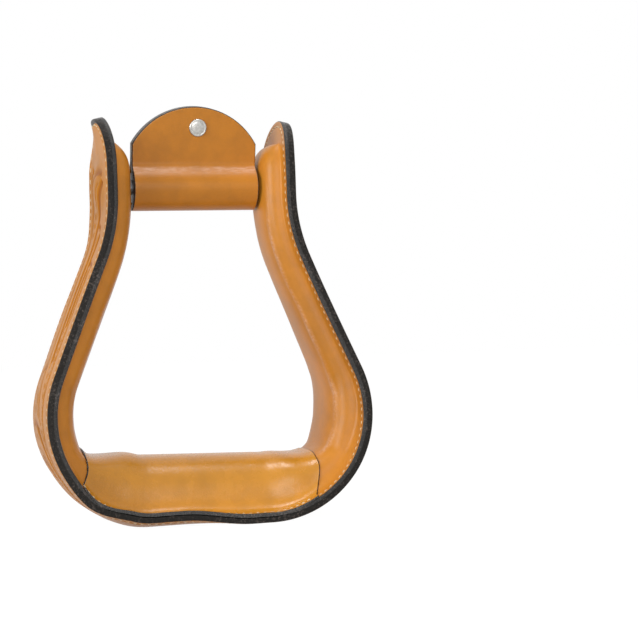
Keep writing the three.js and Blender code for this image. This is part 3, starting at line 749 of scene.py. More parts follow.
BORDER = ((-13, 220), (-12.5, 200), (-13, 180), (-14, 165), (-16, 150), (-17, 135), (-19, 118),
          (-20.5, 104), (-21, 92), (-20, 82), (-17, 70), (-13, 60))
BEVELS = (
    (1, 6.0, ((-13, 272.5), (-6, 274.5), (-1, 272.5), (2, 267.5), (3, 265), (5, 260))),
    (-1, 6.5, ((-13, 272), (-8, 266), (-3.5, 258), (0.5, 249), (4, 240), (6, 228), (6.8, 215), (6.5, 203),
               (5, 190), (3, 178), (0, 167), (-3, 161))),
    (1, 5.0, ((6, 262), (6, 269), (8, 273), (12, 276), (17, 276.5))),
    (1, 6.0, ((17, 276), (15.5, 268), (14.5, 256), (14.2, 240), (14, 225), (13.5, 212), (12.5, 200),
              (11, 190), (9, 178), (6.5, 166), (4, 157), (0, 147), (-4, 138), (-7, 131))),
    (1, 4.5, ((-11, 241.5), (-6, 243.5), (-2, 244))),
    (-1, 5.5, ((-11, 241.5), (-7, 236), (-4, 226), (-2.8, 214), (-2.5, 205), (-3, 196), (-4, 188),
               (-5, 183))),
    (1, 4.0, ((-17, 219.5), (-10, 221.5), (-5, 222.5))),
    (-1, 3.0, BORDER),
    (1, 7.0, ((6.5, 160), (12, 158), (17, 153), (19.3, 145), (19, 138), (18.5, 130))),
    (-1, 6.0, ((23, 101), (25, 106), (26, 112), (24, 117), (20, 123), (14, 126), (8, 125.5), (2, 122),
               (-4, 115), (-9, 105), (-12, 95), (-12.5, 85), (-11, 73), (-8, 62), (-5, 54))),
    (1, 5.0, ((15, 105), (11, 108), (6, 107.5), (1, 103), (-2, 96), (-3, 88), (-3, 80), (-2, 70),
              (-1.5, 67))),
    (1, 5.0, ((1, 93), (5, 98), (10, 101.5), (16, 102.5), (21, 100), (24.5, 94), (25, 91))),
    (1, 4.0, ((21, 82), (17, 83.5), (12, 80), (9, 74), (7.5, 66), (7.5, 58))),
)
VEINS = (
    ((-9, 270), (-5, 267), (0, 258), (3, 253), (6, 249)),
    ((8, 266), (10, 271), (14, 274)),
    ((14, 272), (13.6, 267), (13, 262)),
    ((-6, 240), (-3, 235), (-1, 226), (0.5, 216), (1, 207)),
    ((-2, 240), (2, 233.5)),
    ((-12, 218), (-10, 208), (-9, 198), (-8.5, 190)),
    ((-9, 219), (-6, 212), (-4, 207)),
    ((7.5, 146), (3.5, 138.5)),
    ((14, 148), (7, 139), (0, 131.5)),
    ((14, 138), (8.5, 132.5)),
    ((-3, 126), (-6, 123)),
    ((4, 118), (9, 120.5), (14, 119.5), (17, 115), (17.5, 111)),
    ((16, 109), (12, 112.5), (8, 113), (2, 110), (-3, 104), (-6, 96), (-5.5, 89)),
    ((6, 89), (9, 92.5), (14, 94), (18, 92)),
    ((19, 90.5), (12, 86), (8, 80), (5, 73), (4, 66)),
    ((19, 69), (22, 65)),
)
DEEP_CUTS = (
    ((5.2, 259.5), (5.6, 257)),
    ((-2.5, 163.5), (-4.5, 159)),
    ((-7, 131), (-9.5, 126.5)),
    ((-4, 184), (-6, 179.5)),
    ((-2.5, 71), (-1, 66)),
)
STAMPS = ((-7, 155), (-10, 149), (-12, 143.5), (-11.5, 123), (-14, 119), (-16.5, 114), (-6.5, 175.5),
          (-8.5, 170.5), (-10.5, 165), (8.5, 251.5), (9, 246), (9.5, 240.5))
BEVEL_DEPTH = 0.95
BEVEL_FALL = (-0.5, 0.35)
# Half the width and the depth of each kind of groove, and its lines
GROOVES = ((0.95, 0.5, VEINS), (1.25, 1.15, DEEP_CUTS))
STAMP_ARC = np.array([(-2.3, 1.4), (0, -1.2), (2.3, 1.4)])
STAMP_HALF, STAMP_DEPTH = 0.95, 0.6
TICK_PITCH, TICK_SPAN, TICK_DEPTH = 2.3, (0.3, 0.9, 2.6, 3.2), 0.4
# The matted ground inside the lower scroll: where across and along the leg it lies
MATTED_ACROSS, MATTED_ALONG, MATTED_DEPTH = (1, 3, 13, 15), (97, 99, 105, 107), 0.3


def smooth_curve(points, steps=8):
    """A Catmull-Rom curve through the points: on each stretch a cubic whose slope at a point is half the
    chord between that point's neighbours."""
    knots = np.asarray(points, float)
    knots = np.concatenate([2 * knots[:1] - knots[1:2], knots, 2 * knots[-1:] - knots[-2:-1]])
    a, b, c, d = knots[:-3], knots[1:-2], knots[2:-1], knots[3:]
    t = np.linspace(0, 1, steps, endpoint=False)[:, None, None]
    curve = (2 * b + (c - a) * t + (2 * a - 5 * b + 4 * c - d) * t**2 + (3 * b - a - 3 * c + d) * t**3) / 2
    return np.concatenate([np.swapaxes(curve, 0, 1).reshape(-1, 2), knots[-2:-1]])


def beside_curve(place, points, margin):
    """Where the places lie beside a curve: which are near it, how far to its left, and how far along it.

    A place takes the nearest of the curve's short chords. Its distance has the sign of the cross product of
    the chord with the way to the place, and fade falls from 1 to 0 over the curve's last two millimetres.
    """
    curve = smooth_curve(points)
    near = np.all((place > curve.min(0) - margin) & (place < curve.max(0) + margin), -1)
    chord = np.diff(curve, axis=0)
    length = np.linalg.norm(chord, axis=-1)
    away = place[near][:, None] - curve[:-1]
    share = np.clip((away * chord).sum(-1) / length**2, 0, 1)
    gap = np.linalg.norm(away - share[..., None] * chord, axis=-1)
    best = np.argmin(gap, 1)[:, None]
    cross = chord[:, 0] * away[..., 1] - chord[:, 1] * away[..., 0]
    start = np.concatenate([[0], np.cumsum(length)])
    parts = (gap, cross, start[:-1] + share * length)
    gap, cross, along = (np.take_along_axis(part, best, 1)[:, 0] for part in parts)
    fade = smoothstep(0, 2, along) * smoothstep(0, 2, start[-1] - along)
    return near, np.sign(cross) * gap, along, fade


def tooling(y, distance):
    """Depth of the tooling at points of the outer face, the deepest of all lines that reach a point.

    A bevel drops within its fall and comes back by a smooth step over its reach. Veins and cuts are grooves.
    Behind the border's bevel run fine cross ticks, a cosine of the distance along it. The matted ground is
    a product of two cosines.
    """
    place = np.stack([y, np.abs(distance)], -1)
    depth = np.zeros(y.shape)

    def press(near, pressed):
        depth[near] = np.maximum(depth[near], pressed)

    for side, reach, points in BEVELS:
        near, left, _, fade = beside_curve(place, points, reach + 1)
        fall = smoothstep(*BEVEL_FALL, side * left)
        press(near, BEVEL_DEPTH * fade * fall * (1 - smoothstep(BEVEL_FALL[1], reach, side * left)))
    for half, deep, lines in GROOVES:
        for points in lines:
            near, left, _, fade = beside_curve(place, points, half)
            press(near, deep * fade**0.5 * (1 - smoothstep(0, half, np.abs(left))))
    for middle in STAMPS:
        near, left, _, _ = beside_curve(place, middle + STAMP_ARC, 1)
        press(near, STAMP_DEPTH * (1 - smoothstep(0, STAMP_HALF, np.abs(left))))
    near, left, along, fade = beside_curve(place, BORDER, 4)
    ticks = 0.5 + 0.5 * np.cos(2 * np.pi * along / TICK_PITCH)
    press(near, TICK_DEPTH * fade * ticks * between(TICK_SPAN, left))
    matted = between(MATTED_ACROSS, y) * between(MATTED_ALONG, place[..., 1])
    stipple = 0.5 + 0.5 * np.cos(np.pi * y) * np.cos(np.pi * place[..., 1])
    return np.maximum(depth, MATTED_DEPTH * matted * stipple)


# The pieces, in millimetres: how far inside the edge its black reaches, how much farther on the ear, and
# where the ear lies across and below the tip. Then half a seam groove's width and the length round a tip.
EDGE_FADE = 1.4
EAR_BLACK = 8.0
EAR_ACROSS, EAR_BELOW_TIP = (-18, -2), (22, 8)
GROOVE_HALF = 1.0
TIP_ROUND = 42
# The ridge on a liner's shoulders: where along the leg it runs, its height, its angle over the wood and the
# width of its bell in radians
RIDGE_SPAN = (75, 100, BOW_REACH - 60, BOW_REACH - 30)
RIDGE_HEIGHT = 0.45
RIDGE_ANGLE, RIDGE_BELL = 0.275 * np.pi, 0.085
# The tread cover's cut ends: the length of their rounding, the share of the thickness that it takes off, the
# share that the cut is worked out for, and the first guess and the steps of the search for a cut's place
CUT_EDGE = 0.7
CUT_ROUNDED = 0.22
CUT_SHARE = 0.3
CUT_GUESS, CUT_SEARCH = 90.0, 12
ROLLER_HEIGHT = bow_at(np.array(sum(length for length, _ in BOWS[:4])))[1] + ROLLER_ABOVE_NECK


def leg_places(first, spacing):
    """Places up a leg, evenly to the tip's start and then closer together where the tip turns"""
    straight = np.linspace(first, STRAIGHT_REACH, int((STRAIGHT_REACH - first) / spacing))
    around = STRAIGHT_REACH + TIP_REACH * np.linspace(0, 1, int(TIP_ROUND / spacing) + 2)[1:] ** 1.2
    return np.concatenate([straight, around])


def edge_values(insets, rows, columns):
    """The edge attribute: 1 at the cut edge, falling to 0 inside it"""
    near = np.clip(1 - insets / EDGE_FADE, 0, 1)
    row = np.concatenate([near, np.zeros(columns - 2 * len(insets)), near[::-1]])
    return np.tile(row, (rows, 1))


def inset_values(insets, rows, columns):
    """The inset attribute: the distance inside the edge, and the margin's width further in"""
    row = np.concatenate([insets, np.full(columns - 2 * len(insets), MARGIN), insets[::-1]])
    return np.tile(row, (rows, 1))


def sewn_values(insets, place, shape):
    """The attributes of a sewn leather. The stitch attribute is the count of stitches up to the place."""
    count = np.broadcast_to(stitch_count(place), shape)
    return {"edge": edge_values(insets, *shape), "inset": inset_values(insets, *shape), "stitch": count}


def seam_groove(inset):
    """A rounded groove along the seam: depth * cos^2 across it"""
    away = np.clip(np.abs(inset - SEAM_INSET) / GROOVE_HALF, 0, 1)
    return GROOVE_DEPTH * np.cos(away * np.pi / 2) ** 2


def bolt_swelling(distance, y):
    """How far the cover stands out over a bolt end: height * cos^2 of the distance from the bolt's line"""
    _, z, _ = bow_at(distance)
    away = np.clip(np.hypot(z - ROLLER_HEIGHT, y) / BULGE_REACH, 0, 1)
    return BOLT_BULGE * np.cos(away * np.pi / 2) ** 2


def build_outer_cover(look):
    """The cover's faces: fixed insets across the margins and shares of the half width between them."""
    cell = look.cover_cell / MM
    right = np.concatenate([np.arange(1.0, 50.0, CELL), leg_places(50.0, cell)])
    place = np.concatenate([-right[::-1], [0.0], right])[:, None]
    insets, drop = seam_margin(COVER_MARGIN_CELL)
    shares = np.linspace(-1, 1, int((TREAD_WIDTH - 2 * MARGIN) / cell))[1:-1]
    foot, foot_half = inside_outline(place, MARGIN)

    def grid(margin, between_margins):
        distance, half = inside_outline(place, margin)
        middle = np.broadcast_to(foot, (len(place), len(between_margins)))
        y = np.concatenate([-half, foot_half * between_margins, half[:, ::-1]], 1)
        return np.concatenate([distance, middle, distance[:, ::-1]], 1), y

    distance, y = grid(insets, shares)
    values = sewn_values(insets, place, y.shape)
    start, full = (BOW_REACH - below for below in EAR_BELOW_TIP)
    ear = smoothstep(*EAR_ACROSS, y) * smoothstep(start, full, -distance)
    values["edge"] = np.clip(1 - values["inset"] / (EDGE_FADE + EAR_BLACK * ear), 0, 1)
    tooled = tooling(y, distance)
    # The cut attribute: the tooling's depth, which darkens the colour as burnish and painted shade
    values["cut"] = np.clip(tooled / BEVEL_DEPTH, 0, 1)
    edges = np.concatenate([drop, np.zeros(len(shares)), drop[::-1]])
    over = placed(distance, y, edges + seam_groove(values["inset"]) + tooled - bolt_swelling(distance, y))

    distance, y = grid(np.array([0.0, MARGIN]), np.array([-0.5, 0.0, 0.5]))
    closed = np.array([1.0, 0, 0, 0, 0, 0, 1.0])
    depth = COVER_THICKNESS + SLIT_CLOSED + closed * SEAT_GAP - bolt_swelling(distance, y)
    return shell("outer_cover_leather", over, placed(distance, y, depth), values)


def crown_angles(steps):
    return np.linspace(0, np.pi, steps)[1:-1]


def build_liner(name, leg):
    """A liner from its tail under the tread cover to the tip, moulded over the wood"""
    place = leg * leg_places(tread_cover_end(leg) - TAIL_LAP, CELL)[:, None]
    angles = crown_angles(LINER_STEPS)
    insets, drop = seam_margin(MARGIN_CELL)
    thickness = liner_thickness(place)
    thick = thickness / LINER_THICKNESS
    foot = inside_outline(place, MARGIN)[0]
    crown = wood_crown(foot, tail_lift(place)) + WRAP_GAP + padding(foot)
    base = WOOD_FLOOR + EDGE_SHARE * thickness
    over = wrapped_layer(place, base, crown + thickness, SIDE_GAP + thickness, (insets, drop), angles, thick)
    values = sewn_values(insets, place, over.shape[:2])
    base = WOOD_FLOOR - SLIT_CLOSED * values["edge"]
    under = wrapped_layer(place, base, crown, SIDE_GAP, (insets, 0 * insets), angles)
    # The ridge's line is also the crease attribute, which paints a highlight along it and wrinkles it
    values["crease"] = shoulder_ridge(place, angles, len(insets))
    over[..., 2] += RIDGE_HEIGHT * values["crease"] - seam_groove(values["inset"]) * thick
    over, under = (placed(*np.moveaxis(layer, -1, 0)) for layer in (over, under))
    piece = shell(name, over, under, values, cap_first=True)
    pierce(piece, leg * NECK_HALF, BOLT_RADIUS + RUNNING_GAP)
    return piece


def shoulder_ridge(place, angles, margin_count):
    """A soft ridge along both shoulders of the moulded leather: a bell over the angle, on a wavering line"""
    reach = np.abs(place)
    line = RIDGE_ANGLE + 0.035 * np.sin(reach / 11) + 0.02 * np.sin(reach / 4.7)
    strength = between(RIDGE_SPAN, reach) * (0.75 + 0.25 * np.sin(reach / 7.3 + 1))
    bells = (np.exp(-((angle - line) / RIDGE_BELL) ** 2) for angle in (angles, np.pi - angles))
    return np.pad(strength * sum(bells), ((0, 0), (margin_count, margin_count)))


def pierce(piece, x, radius):
    """Cuts the bolt's hole through a liner: a bar along X through the bolt's line, taken away"""
    tool_mesh = bpy.data.meshes.new("bolt_hole")
    tool = bmesh.new()
    size = {"radius1": radius * MM, "radius2": radius * MM, "depth": 4 * LEG_DEPTH * MM}
    bmesh.ops.create_cone(tool, cap_ends=True, segments=32, **size)
    bmesh.ops.rotate(tool, verts=tool.verts, matrix=Euler((0, np.pi / 2, 0)).to_matrix())
    bmesh.ops.translate(tool, verts=tool.verts, vec=Vector((x * MM, 0, ROLLER_HEIGHT * MM)))
    tool.to_mesh(tool_mesh)
    tool.free()
    bar = bpy.data.objects.new("bolt_hole", tool_mesh)
    bpy.context.scene.collection.objects.link(bar)
    cut = piece.modifiers.new("bolt hole", "BOOLEAN")
    cut.operation, cut.solver, cut.object = "DIFFERENCE", "EXACT", bar
    graph = bpy.context.evaluated_depsgraph_get()
    whole = piece.data
    piece.data = bpy.data.meshes.new_from_object(piece.evaluated_get(graph))
    piece.modifiers.clear()
    bpy.data.objects.remove(bar)
    bpy.data.meshes.remove(tool_mesh)
    bpy.data.meshes.remove(whole)


def end_place(target, depth):
    """The place on the tread's corner where a point at a depth has the distance target from the middle"""
    across = np.clip((target - BASE_FLAT / 2) / (CORNER_RADIUS - depth), -0.98, 0.98)
    return BASE_FLAT / 2 + CORNER_RADIUS * np.arcsin(across)


def tread_over(place, share, margin, angles):
    """The tread cover's upper face. Its thickness is skived down over its last millimetres, share 0 to 1."""
    lift = tail_lift(place)
    thickness = TREAD_COVER_THICKNESS * share
    base = WOOD_FLOOR + tail_lift(place, EDGE_SHARE) + EDGE_SHARE * thickness
    foot = inside_outline(place, MARGIN)[0]
    uneven = padding(foot) - TREAD_SLOPE * foot * (1 - smoothstep(*TREAD_SLOPE_FADE, np.abs(foot)))
    crown = wood_crown(foot, lift) + WRAP_GAP + lift + thickness + uneven
    return wrapped_layer(place, base, crown, SIDE_GAP + lift + thickness, margin, angles, share)


def build_tread_cover():
    """The tread cover: each column of its grid runs from the left end's slanted cut to the right end's.

    A column's end is found by steps. Each works out the leather's depth there, takes from it the cut's
    distance from the middle, and goes halfway to the place that has both.
    """
    angles = crown_angles(TREAD_STEPS)
    insets, drop = seam_margin(MARGIN_CELL)
    ends = []
    for side, foot_x, bulge, top_x in TREAD_CUTS:
        place = np.full((1, 2 * len(insets) + len(angles)), CUT_GUESS)
        for _ in range(CUT_SEARCH):
            depth = tread_over(side * place, CUT_SHARE, (insets, drop), angles)[..., 2]
            rise = np.clip((depth - CUT_FOOT) / CUT_RISE, 0, 1)
            target = foot_x + (top_x - foot_x) * rise + bulge * 4 * rise * (1 - rise)
            place = (place + end_place(target, depth)) / 2
        ends.append(side * place)
    close = np.array([0, 0.06, 0.15, 0.275, 0.425, 0.6, 0.85, 1.2]) / 100
    run = np.concatenate([close, np.linspace(0.034, 0.966, 116), 1 - close[::-1]])[:, None]
    place = ends[0] + (ends[1] - ends[0]) * run
    from_end = np.minimum(place - ends[0], ends[1] - place)
    share = tread_skive(from_end) - CUT_ROUNDED * (1 - np.clip(from_end / CUT_EDGE, 0, 1)) ** 2
    over = tread_over(place, share, (insets, drop), angles)
    under = tread_over(place, 0 * share, (insets, 0 * insets), angles)
    values = sewn_values(insets, place, over.shape[:2])
    under[..., 2] -= (SEAT_GAP + SLIT_CLOSED) * values["edge"]
    over[..., 2] -= seam_groove(values["inset"]) * share
    values["edge"] = np.maximum(values["edge"], np.clip(1.5 - from_end / CUT_EDGE, 0, 1))
    over, under = (placed(*np.moveaxis(layer, -1, 0)) for layer in (over, under))
    return shell("tread_cover_leather", over, under, values, cap_first=True, cap_last=True)


# The roller's leather: how far its columns lie from its long edges before the middle ones, the count of all
# those between its edges, the rows on the arch and on the flat of a flap, and the row in the crease's middle,
# where its painted highlight and wrinkles are strongest
FLAP_INSETS = np.array([1.2, 2.0, 3.2])
FLAP_EDGE = 0.8
FLAP_COLUMNS = 39
ARCH_ROWS, FLAT_ROWS = 26, 8
CREASE_ROW = 42
FLAP_FACE = WRAP_THICKNESS + SEAT_GAP / 2


def in_roller(points):
    """Points of the roller's own frame, leaned to the front about the bolt's line and lifted to it"""
    x, y, z = np.moveaxis(points, -1, 0)
    cos, sin = np.cos(FLAP_LEAN), np.sin(FLAP_LEAN)
    return np.stack([x, y * cos - z * sin, y * sin + z * cos + ROLLER_HEIGHT], -1)


def wrap_side(offset):
    """Half of the folded leather's section at a depth under its outer face, as y and z from flap to bottom.

    Upright on the flap, then an arc round the crease's centre outside the leather, then an arc round the
    sleeve, which hangs lower under it. They join smoothly, because the crease's and the sleeve's circles
    touch. The last value is the height of the crease's centre.
    """
    radius = SLEEVE_RADIUS + RUNNING_GAP + WRAP_THICKNESS
    reach = radius + CREASE_RADIUS
    touch = np.arccos((FLAP_FACE + CREASE_RADIUS) / reach)
    centre = reach * np.sin(touch)
    crease = np.linspace(np.pi, np.pi + touch, 12)[1:]
    round_ = np.linspace(touch, -np.pi / 2, 26)[1:]
    crease_y = FLAP_FACE + CREASE_RADIUS + (CREASE_RADIUS + offset) * np.cos(crease)
    crease_z = centre + (CREASE_RADIUS + offset) * np.sin(crease)
    round_y = (radius - offset) * np.cos(round_)
    round_z = (radius - offset) * np.sin(round_) + ROLLER_HANG * np.minimum(0, np.sin(round_))
    return np.concatenate([crease_y, round_y]), np.concatenate([crease_z, round_z]), centre


def wrap_grid(insets, offset):
    """A face of the roller cover at depths under its outer face, one for each inset, as a grid of points.

    Rows go from the top of the front flap down, round the sleeve and up the back. On the arch a column
    lies on a circle inside the flap's own; below it the column keeps its distance from the straight edge.
    """
    half, rise = (NECK_CLEAR - SIDE_PLAY) / 2, FLAP_TOP - FLAP_CORNER
    arch = (half * half + rise * rise) / (2 * rise)
    middle = FLAP_TOP - arch
    corner = np.arccos((FLAP_CORNER - middle) / arch)

    def across(edge, centre):
        return np.concatenate([edge, centre, edge[::-1]])

    depth = across(offset, np.full(FLAP_COLUMNS, offset[-1]))
    inset = across(insets, np.full(FLAP_COLUMNS, insets[-1]))
    shares = across(np.ones(len(insets)), np.linspace(-1, 1, FLAP_COLUMNS + 2)[1:-1])
    shares[: len(insets)] = -1
    turn = np.linspace(0, corner, ARCH_ROWS)[:, None]
    arch_x = (arch - inset) * np.sin(turn) * shares
    arch_z = middle + (arch - inset) * np.cos(turn)
    arch_x[-1] = (half - inset) * shares
    arch_z[-1] = FLAP_CORNER - inset * np.tan(corner / 2)
    low_y, low_z, centre = (np.stack(part, -1) for part in zip(*(wrap_side(value) for value in depth)))
    flat_z = centre + (arch_z[-1] - centre) * np.linspace(1, 0, FLAT_ROWS + 1)[1:, None]
    y = np.concatenate([np.tile(FLAP_FACE - depth, (ARCH_ROWS + FLAT_ROWS, 1)), low_y])
    z = np.concatenate([arch_z, flat_z, low_z])
    x = np.concatenate([arch_x, np.tile(arch_x[-1], (len(z) - ARCH_ROWS, 1))])
    return np.concatenate([np.stack([x, -y, z], -1), np.stack([x, y, z], -1)[-2::-1]])


def build_roller_cover():
    """The folded leather round the sleeve, black on its cut edges"""
    insets, drop = margin_columns(FLAP_EDGE, FLAP_INSETS)
    over = in_roller(wrap_grid(insets, drop))
    under = in_roller(wrap_grid(insets, np.full(len(insets), WRAP_THICKNESS)))
    shape = over.shape[:2]
    values = {
        "edge": edge_values(insets, *shape),
        "inset": np.full(shape, MARGIN),
        # Where the painted highlight and the wrinkles lie along each flap's crease
        "crease": crease_values(shape),
    }
    return shell("roller_cover_leather", over, under, values)


def crease_values(shape):
    """The crease attribute, which places the painted highlight and the wrinkles: 1 in the middle of each
    flap's crease, falling off along the rows
    """
    row = np.arange(shape[0])[:, None]
    last = shape[0] - 1
    away = np.minimum(np.abs(row - CREASE_ROW), np.abs(last - row - CREASE_ROW))
    return np.broadcast_to(1 - smoothstep(0.5, 5.5, away), shape)


def turned_grid(profile, sides, notch=0.0):
    """A turned face about Y: rings at the profile's radii and heights, notched between the star's petals.

    The radius shrinks by notch * |sin(4 angle)|^0.7 where a smooth step of the radius lets it.
    """
    angle = np.linspace(0, 2 * np.pi, sides, endpoint=False)
    radius, height = profile[:, :1], profile[:, 1:]
    radius = radius * (1 - notch * smoothstep(2.4, 3.8, radius) * np.abs(np.sin(4 * angle)) ** 0.7)
    height = np.broadcast_to(height, radius.shape)
    return np.stack([radius * np.cos(angle), height, radius * np.sin(angle)], -1)


def build_rivet():
    """The rivet: a low flat-topped head with a rolled rim in front, a shank, and a clinched star behind."""
    head = np.array([
        [0, 1.28], [1.6, 1.27], [3.0, 1.2], [3.55, 1.08], [3.75, 0.98], [4.0, 0.98], [4.25, 1.06],
        [4.6, 1.02], [4.95, 0.82], [5.15, 0.5], [5.2, 0.22], [5.1, 0.02], [2.3, 0.0], [2.3, -FLAP_FACE]])
    star = np.array([
        [0, 0.75], [0.9, 0.55], [1.6, 0.62], [2.5, 0.85], [3.4, 0.72], [3.9, 0.4], [4.1, 0.1], [3.8, 0.0],
        [2.3, 0.0], [2.3, -FLAP_FACE]])
    front = turned_grid(head, 48) * [1, -1, 1] - [0, FLAP_FACE, 0]
    back = turned_grid(star, 64, notch=0.2) + [0, FLAP_FACE, 0]
    middle = [RIVET_OFF_CENTRE, 0, FLAP_TOP - RIVET_BELOW_TOP]
    points = [in_roller(grid + middle).reshape(-1, 3) for grid in (front, back)]
    faces = [ring_faces(*front.shape[:2]), ring_faces(*back.shape[:2], first=len(points[0]))]
    return mesh_object("domed_rivet", np.concatenate(points), np.concatenate(faces))


# What a user would change


def length_property(name, description, default):
    return FloatProperty(name=name, description=description, default=default, precision=5, unit="LENGTH")


def share_property(name, description, default):
    return FloatProperty(name=name, description=description, default=default, min=0, max=1)


def power_property(name, description, default):
    return FloatProperty(name=name, description=description, default=default, unit="POWER")


def colour_property(name, description, default):
    settings = {"subtype": "COLOR", "min": 0, "max": 1}
    return FloatVectorProperty(name=name, description=description, default=default, **settings)


class StirrupLook(bpy.types.PropertyGroup):
    """Sizes and colours of the leathers, stitches and metal"""

    cover_cell: length_property("Cover grid", "Spacing of the tooled leather's points", 0.00072)
    thread_radius: length_property("Thread radius", "Half the thickness of the seam thread", 0.00038)
    stitch_lean: length_property("Stitch lean", "How far a stitch leans across the seam", 0.0005)
    leather: colour_property("Leather", "Colour of the waxed leather", (0.56, 0.215, 0.02))
    tread_leather: colour_property("Tread leather", "Colour of the tread cover", (0.585, 0.248, 0.018))
    roller_leather: colour_property("Roller leather", "Colour of the roller cover", (0.52, 0.187, 0.011))
    dark_cloud: share_property("Darker clouds", "Share of the colour in darker clouds", 0.84)
    light_cloud: FloatProperty(name="Lighter clouds", description="Share of the colour in lighter clouds",
                               default=1.12, min=1, max=2)
    # The cuts' colour and strength: burnish of the pressed leather and painted shade in the hollows
    cut_colour: colour_property("Cuts", "Colour in the tooled cuts", (0.3, 0.085, 0.012))
    cut_shade: share_property("Cut shade", "How strongly the cuts darken", 0.7)
    # Painted shade in the stitch holes
    hole_shade_colour: colour_property("Stitch holes", "Colour in the stitch holes", (0.1, 0.045, 0.018))
    # A painted highlight along creases and ridges: its colour and how strongly it shows
    crease_highlight_colour: colour_property("Crease", "Colour of the painted highlight along a crease", (0.72, 0.42, 0.26))
    crease_highlight_strength: share_property("Crease highlight", "How strongly the painted highlight shows along a crease", 0.75)
    edge_colour: colour_property("Edge", "Colour of the dressed edges", (0.014, 0.012, 0.01))
    edge_wear: colour_property("Edge wear", "Colour where the edges are scuffed", (0.2, 0.16, 0.14))
    edge_scuffs: share_property("Edge scuffs", "How much the edges are scuffed", 0.5)
    fringe_colour: colour_property("Edge fringe", "Colour of the rubbed line beside an edge", (0.7, 0.5, 0.3))
    edge_reach: share_property("Edge reach", "Where the edge dressing stops, from 1 at the edge", 0.68)
    roughness: share_property("Roughness", "Roughness of the waxed leather", 0.37)
    tread_roughness: share_property("Tread roughness", "The same where boots have polished the tread", 0.27)
    grain: share_property("Grain", "Strength of the leather's grain", 0.3)
    gloss: share_property("Gloss", "Strength of the wax's reflection", 0.36)
    cover_gloss: share_property("Cover gloss", "The same on the tooled cover", 0.13)
    tread_gloss: share_property("Tread gloss", "The same on the tread", 0.5)
    thread: colour_property("Thread", "Colour of the seam thread", (0.83, 0.68, 0.44))
    nickel: colour_property("Nickel", "Colour of the rivet", (0.52, 0.51, 0.48))
    steel: colour_property("Steel", "Colour of the bolt and sleeve", (0.3, 0.3, 0.31))


class StirrupStage(bpy.types.PropertyGroup):
    """Camera, lights and backdrop"""

    lens: FloatProperty(name="Focal length", description="Of the camera, in millimetres", default=89.83)
    camera_place: FloatVectorProperty(name="Camera place", description="Where the camera stands",
                                      subtype="TRANSLATION", unit="LENGTH", precision=4,
                                      default=(-0.219144, -0.904529, 0.111673))
    camera_turn: FloatVectorProperty(name="Camera turn", description="The camera's rotation",
                                     subtype="EULER", unit="ROTATION",
                                     default=tuple(np.radians([90.1621, 1.8770, -17.9947])))
    overhead_power: power_property("Overhead light", "Power of the light above", 8.5)
    left_power: power_property("Left light", "Power of the light on the left", 13.0)
    front_power: power_property("Front light", "Power of the light in front", 13.0)
    surround: FloatProperty(name="Surround", description="Brightness of the studio's walls", default=0.33,
                            min=0)
    floor_tone: share_property("Floor tone", "How much light the floor throws back", 0.65)
    floor_glow: FloatProperty(name="Floor glow", description="Brightness that the camera sees in the floor",
                              default=1.12, min=0)
    backdrop: colour_property("Backdrop", "Colour of the floor and background", (1.0, 1.0, 1.0))


# Operators


def finish_piece(piece, body, nodes, material):
    """Hands a piece to the frame: its body, the solids that it stands for and its material"""
    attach(piece, body)
    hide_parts(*nodes)
    piece.data.materials.clear()
    piece.data.materials.append(material)


class STIRRUP_OT_outer_cover(bpy.types.Operator):
    """Add the tooled outer cover"""

    bl_idname = "stirrup.outer_cover"
    bl_label = "Outer cover"

    def execute(self, context):
        look = context.scene.stirrup_look
        material = leather_finish("tooled_russet", look, look.leather, look.cover_gloss, look.roughness)
        finish_piece(build_outer_cover(look), "stirrup", ["outer_cover"], material)
        return {"FINISHED"}


class STIRRUP_OT_liners(bpy.types.Operator):
    """Add the two leg liners"""

    bl_idname = "stirrup.liners"
    bl_label = "Leg liners"

    def execute(self, context):
        look = context.scene.stirrup_look
        material = leather_finish("smooth_russet", look, look.leather, look.gloss, look.roughness)
        for side, leg in (("left", -1), ("right", 1)):
            piece = build_liner(f"{side}_liner_leather", leg)
            finish_piece(piece, "stirrup", [f"{side}_liner"], material)
        return {"FINISHED"}


class STIRRUP_OT_tread_cover(bpy.types.Operator):
    """Add the tread cover"""

    bl_idname = "stirrup.tread_cover"
    bl_label = "Tread cover"

    def execute(self, context):
        look = context.scene.stirrup_look
        colour, gloss, roughness = look.tread_leather, look.tread_gloss, look.tread_roughness
        material = leather_finish("tread_russet", look, colour, gloss, roughness)
        finish_piece(build_tread_cover(), "stirrup", ["tread_cover"], material)
        return {"FINISHED"}


class STIRRUP_OT_roller_cover(bpy.types.Operator):
    """Add the roller's leather cover and its rivet"""

    bl_idname = "stirrup.roller_cover"
    bl_label = "Roller cover and rivet"

    def execute(self, context):
        look = context.scene.stirrup_look
        material = leather_finish("roller_russet", look, look.roller_leather, look.gloss, look.roughness)
        finish_piece(build_roller_cover(), "roller", ["roller_cover"], material)
        nickel = metal_finish("bright_nickel", look.nickel, roughness=0.34, scratches=0.25)
        finish_piece(build_rivet(), "roller", ["flap_rivet"], nickel)
        return {"FINISHED"}


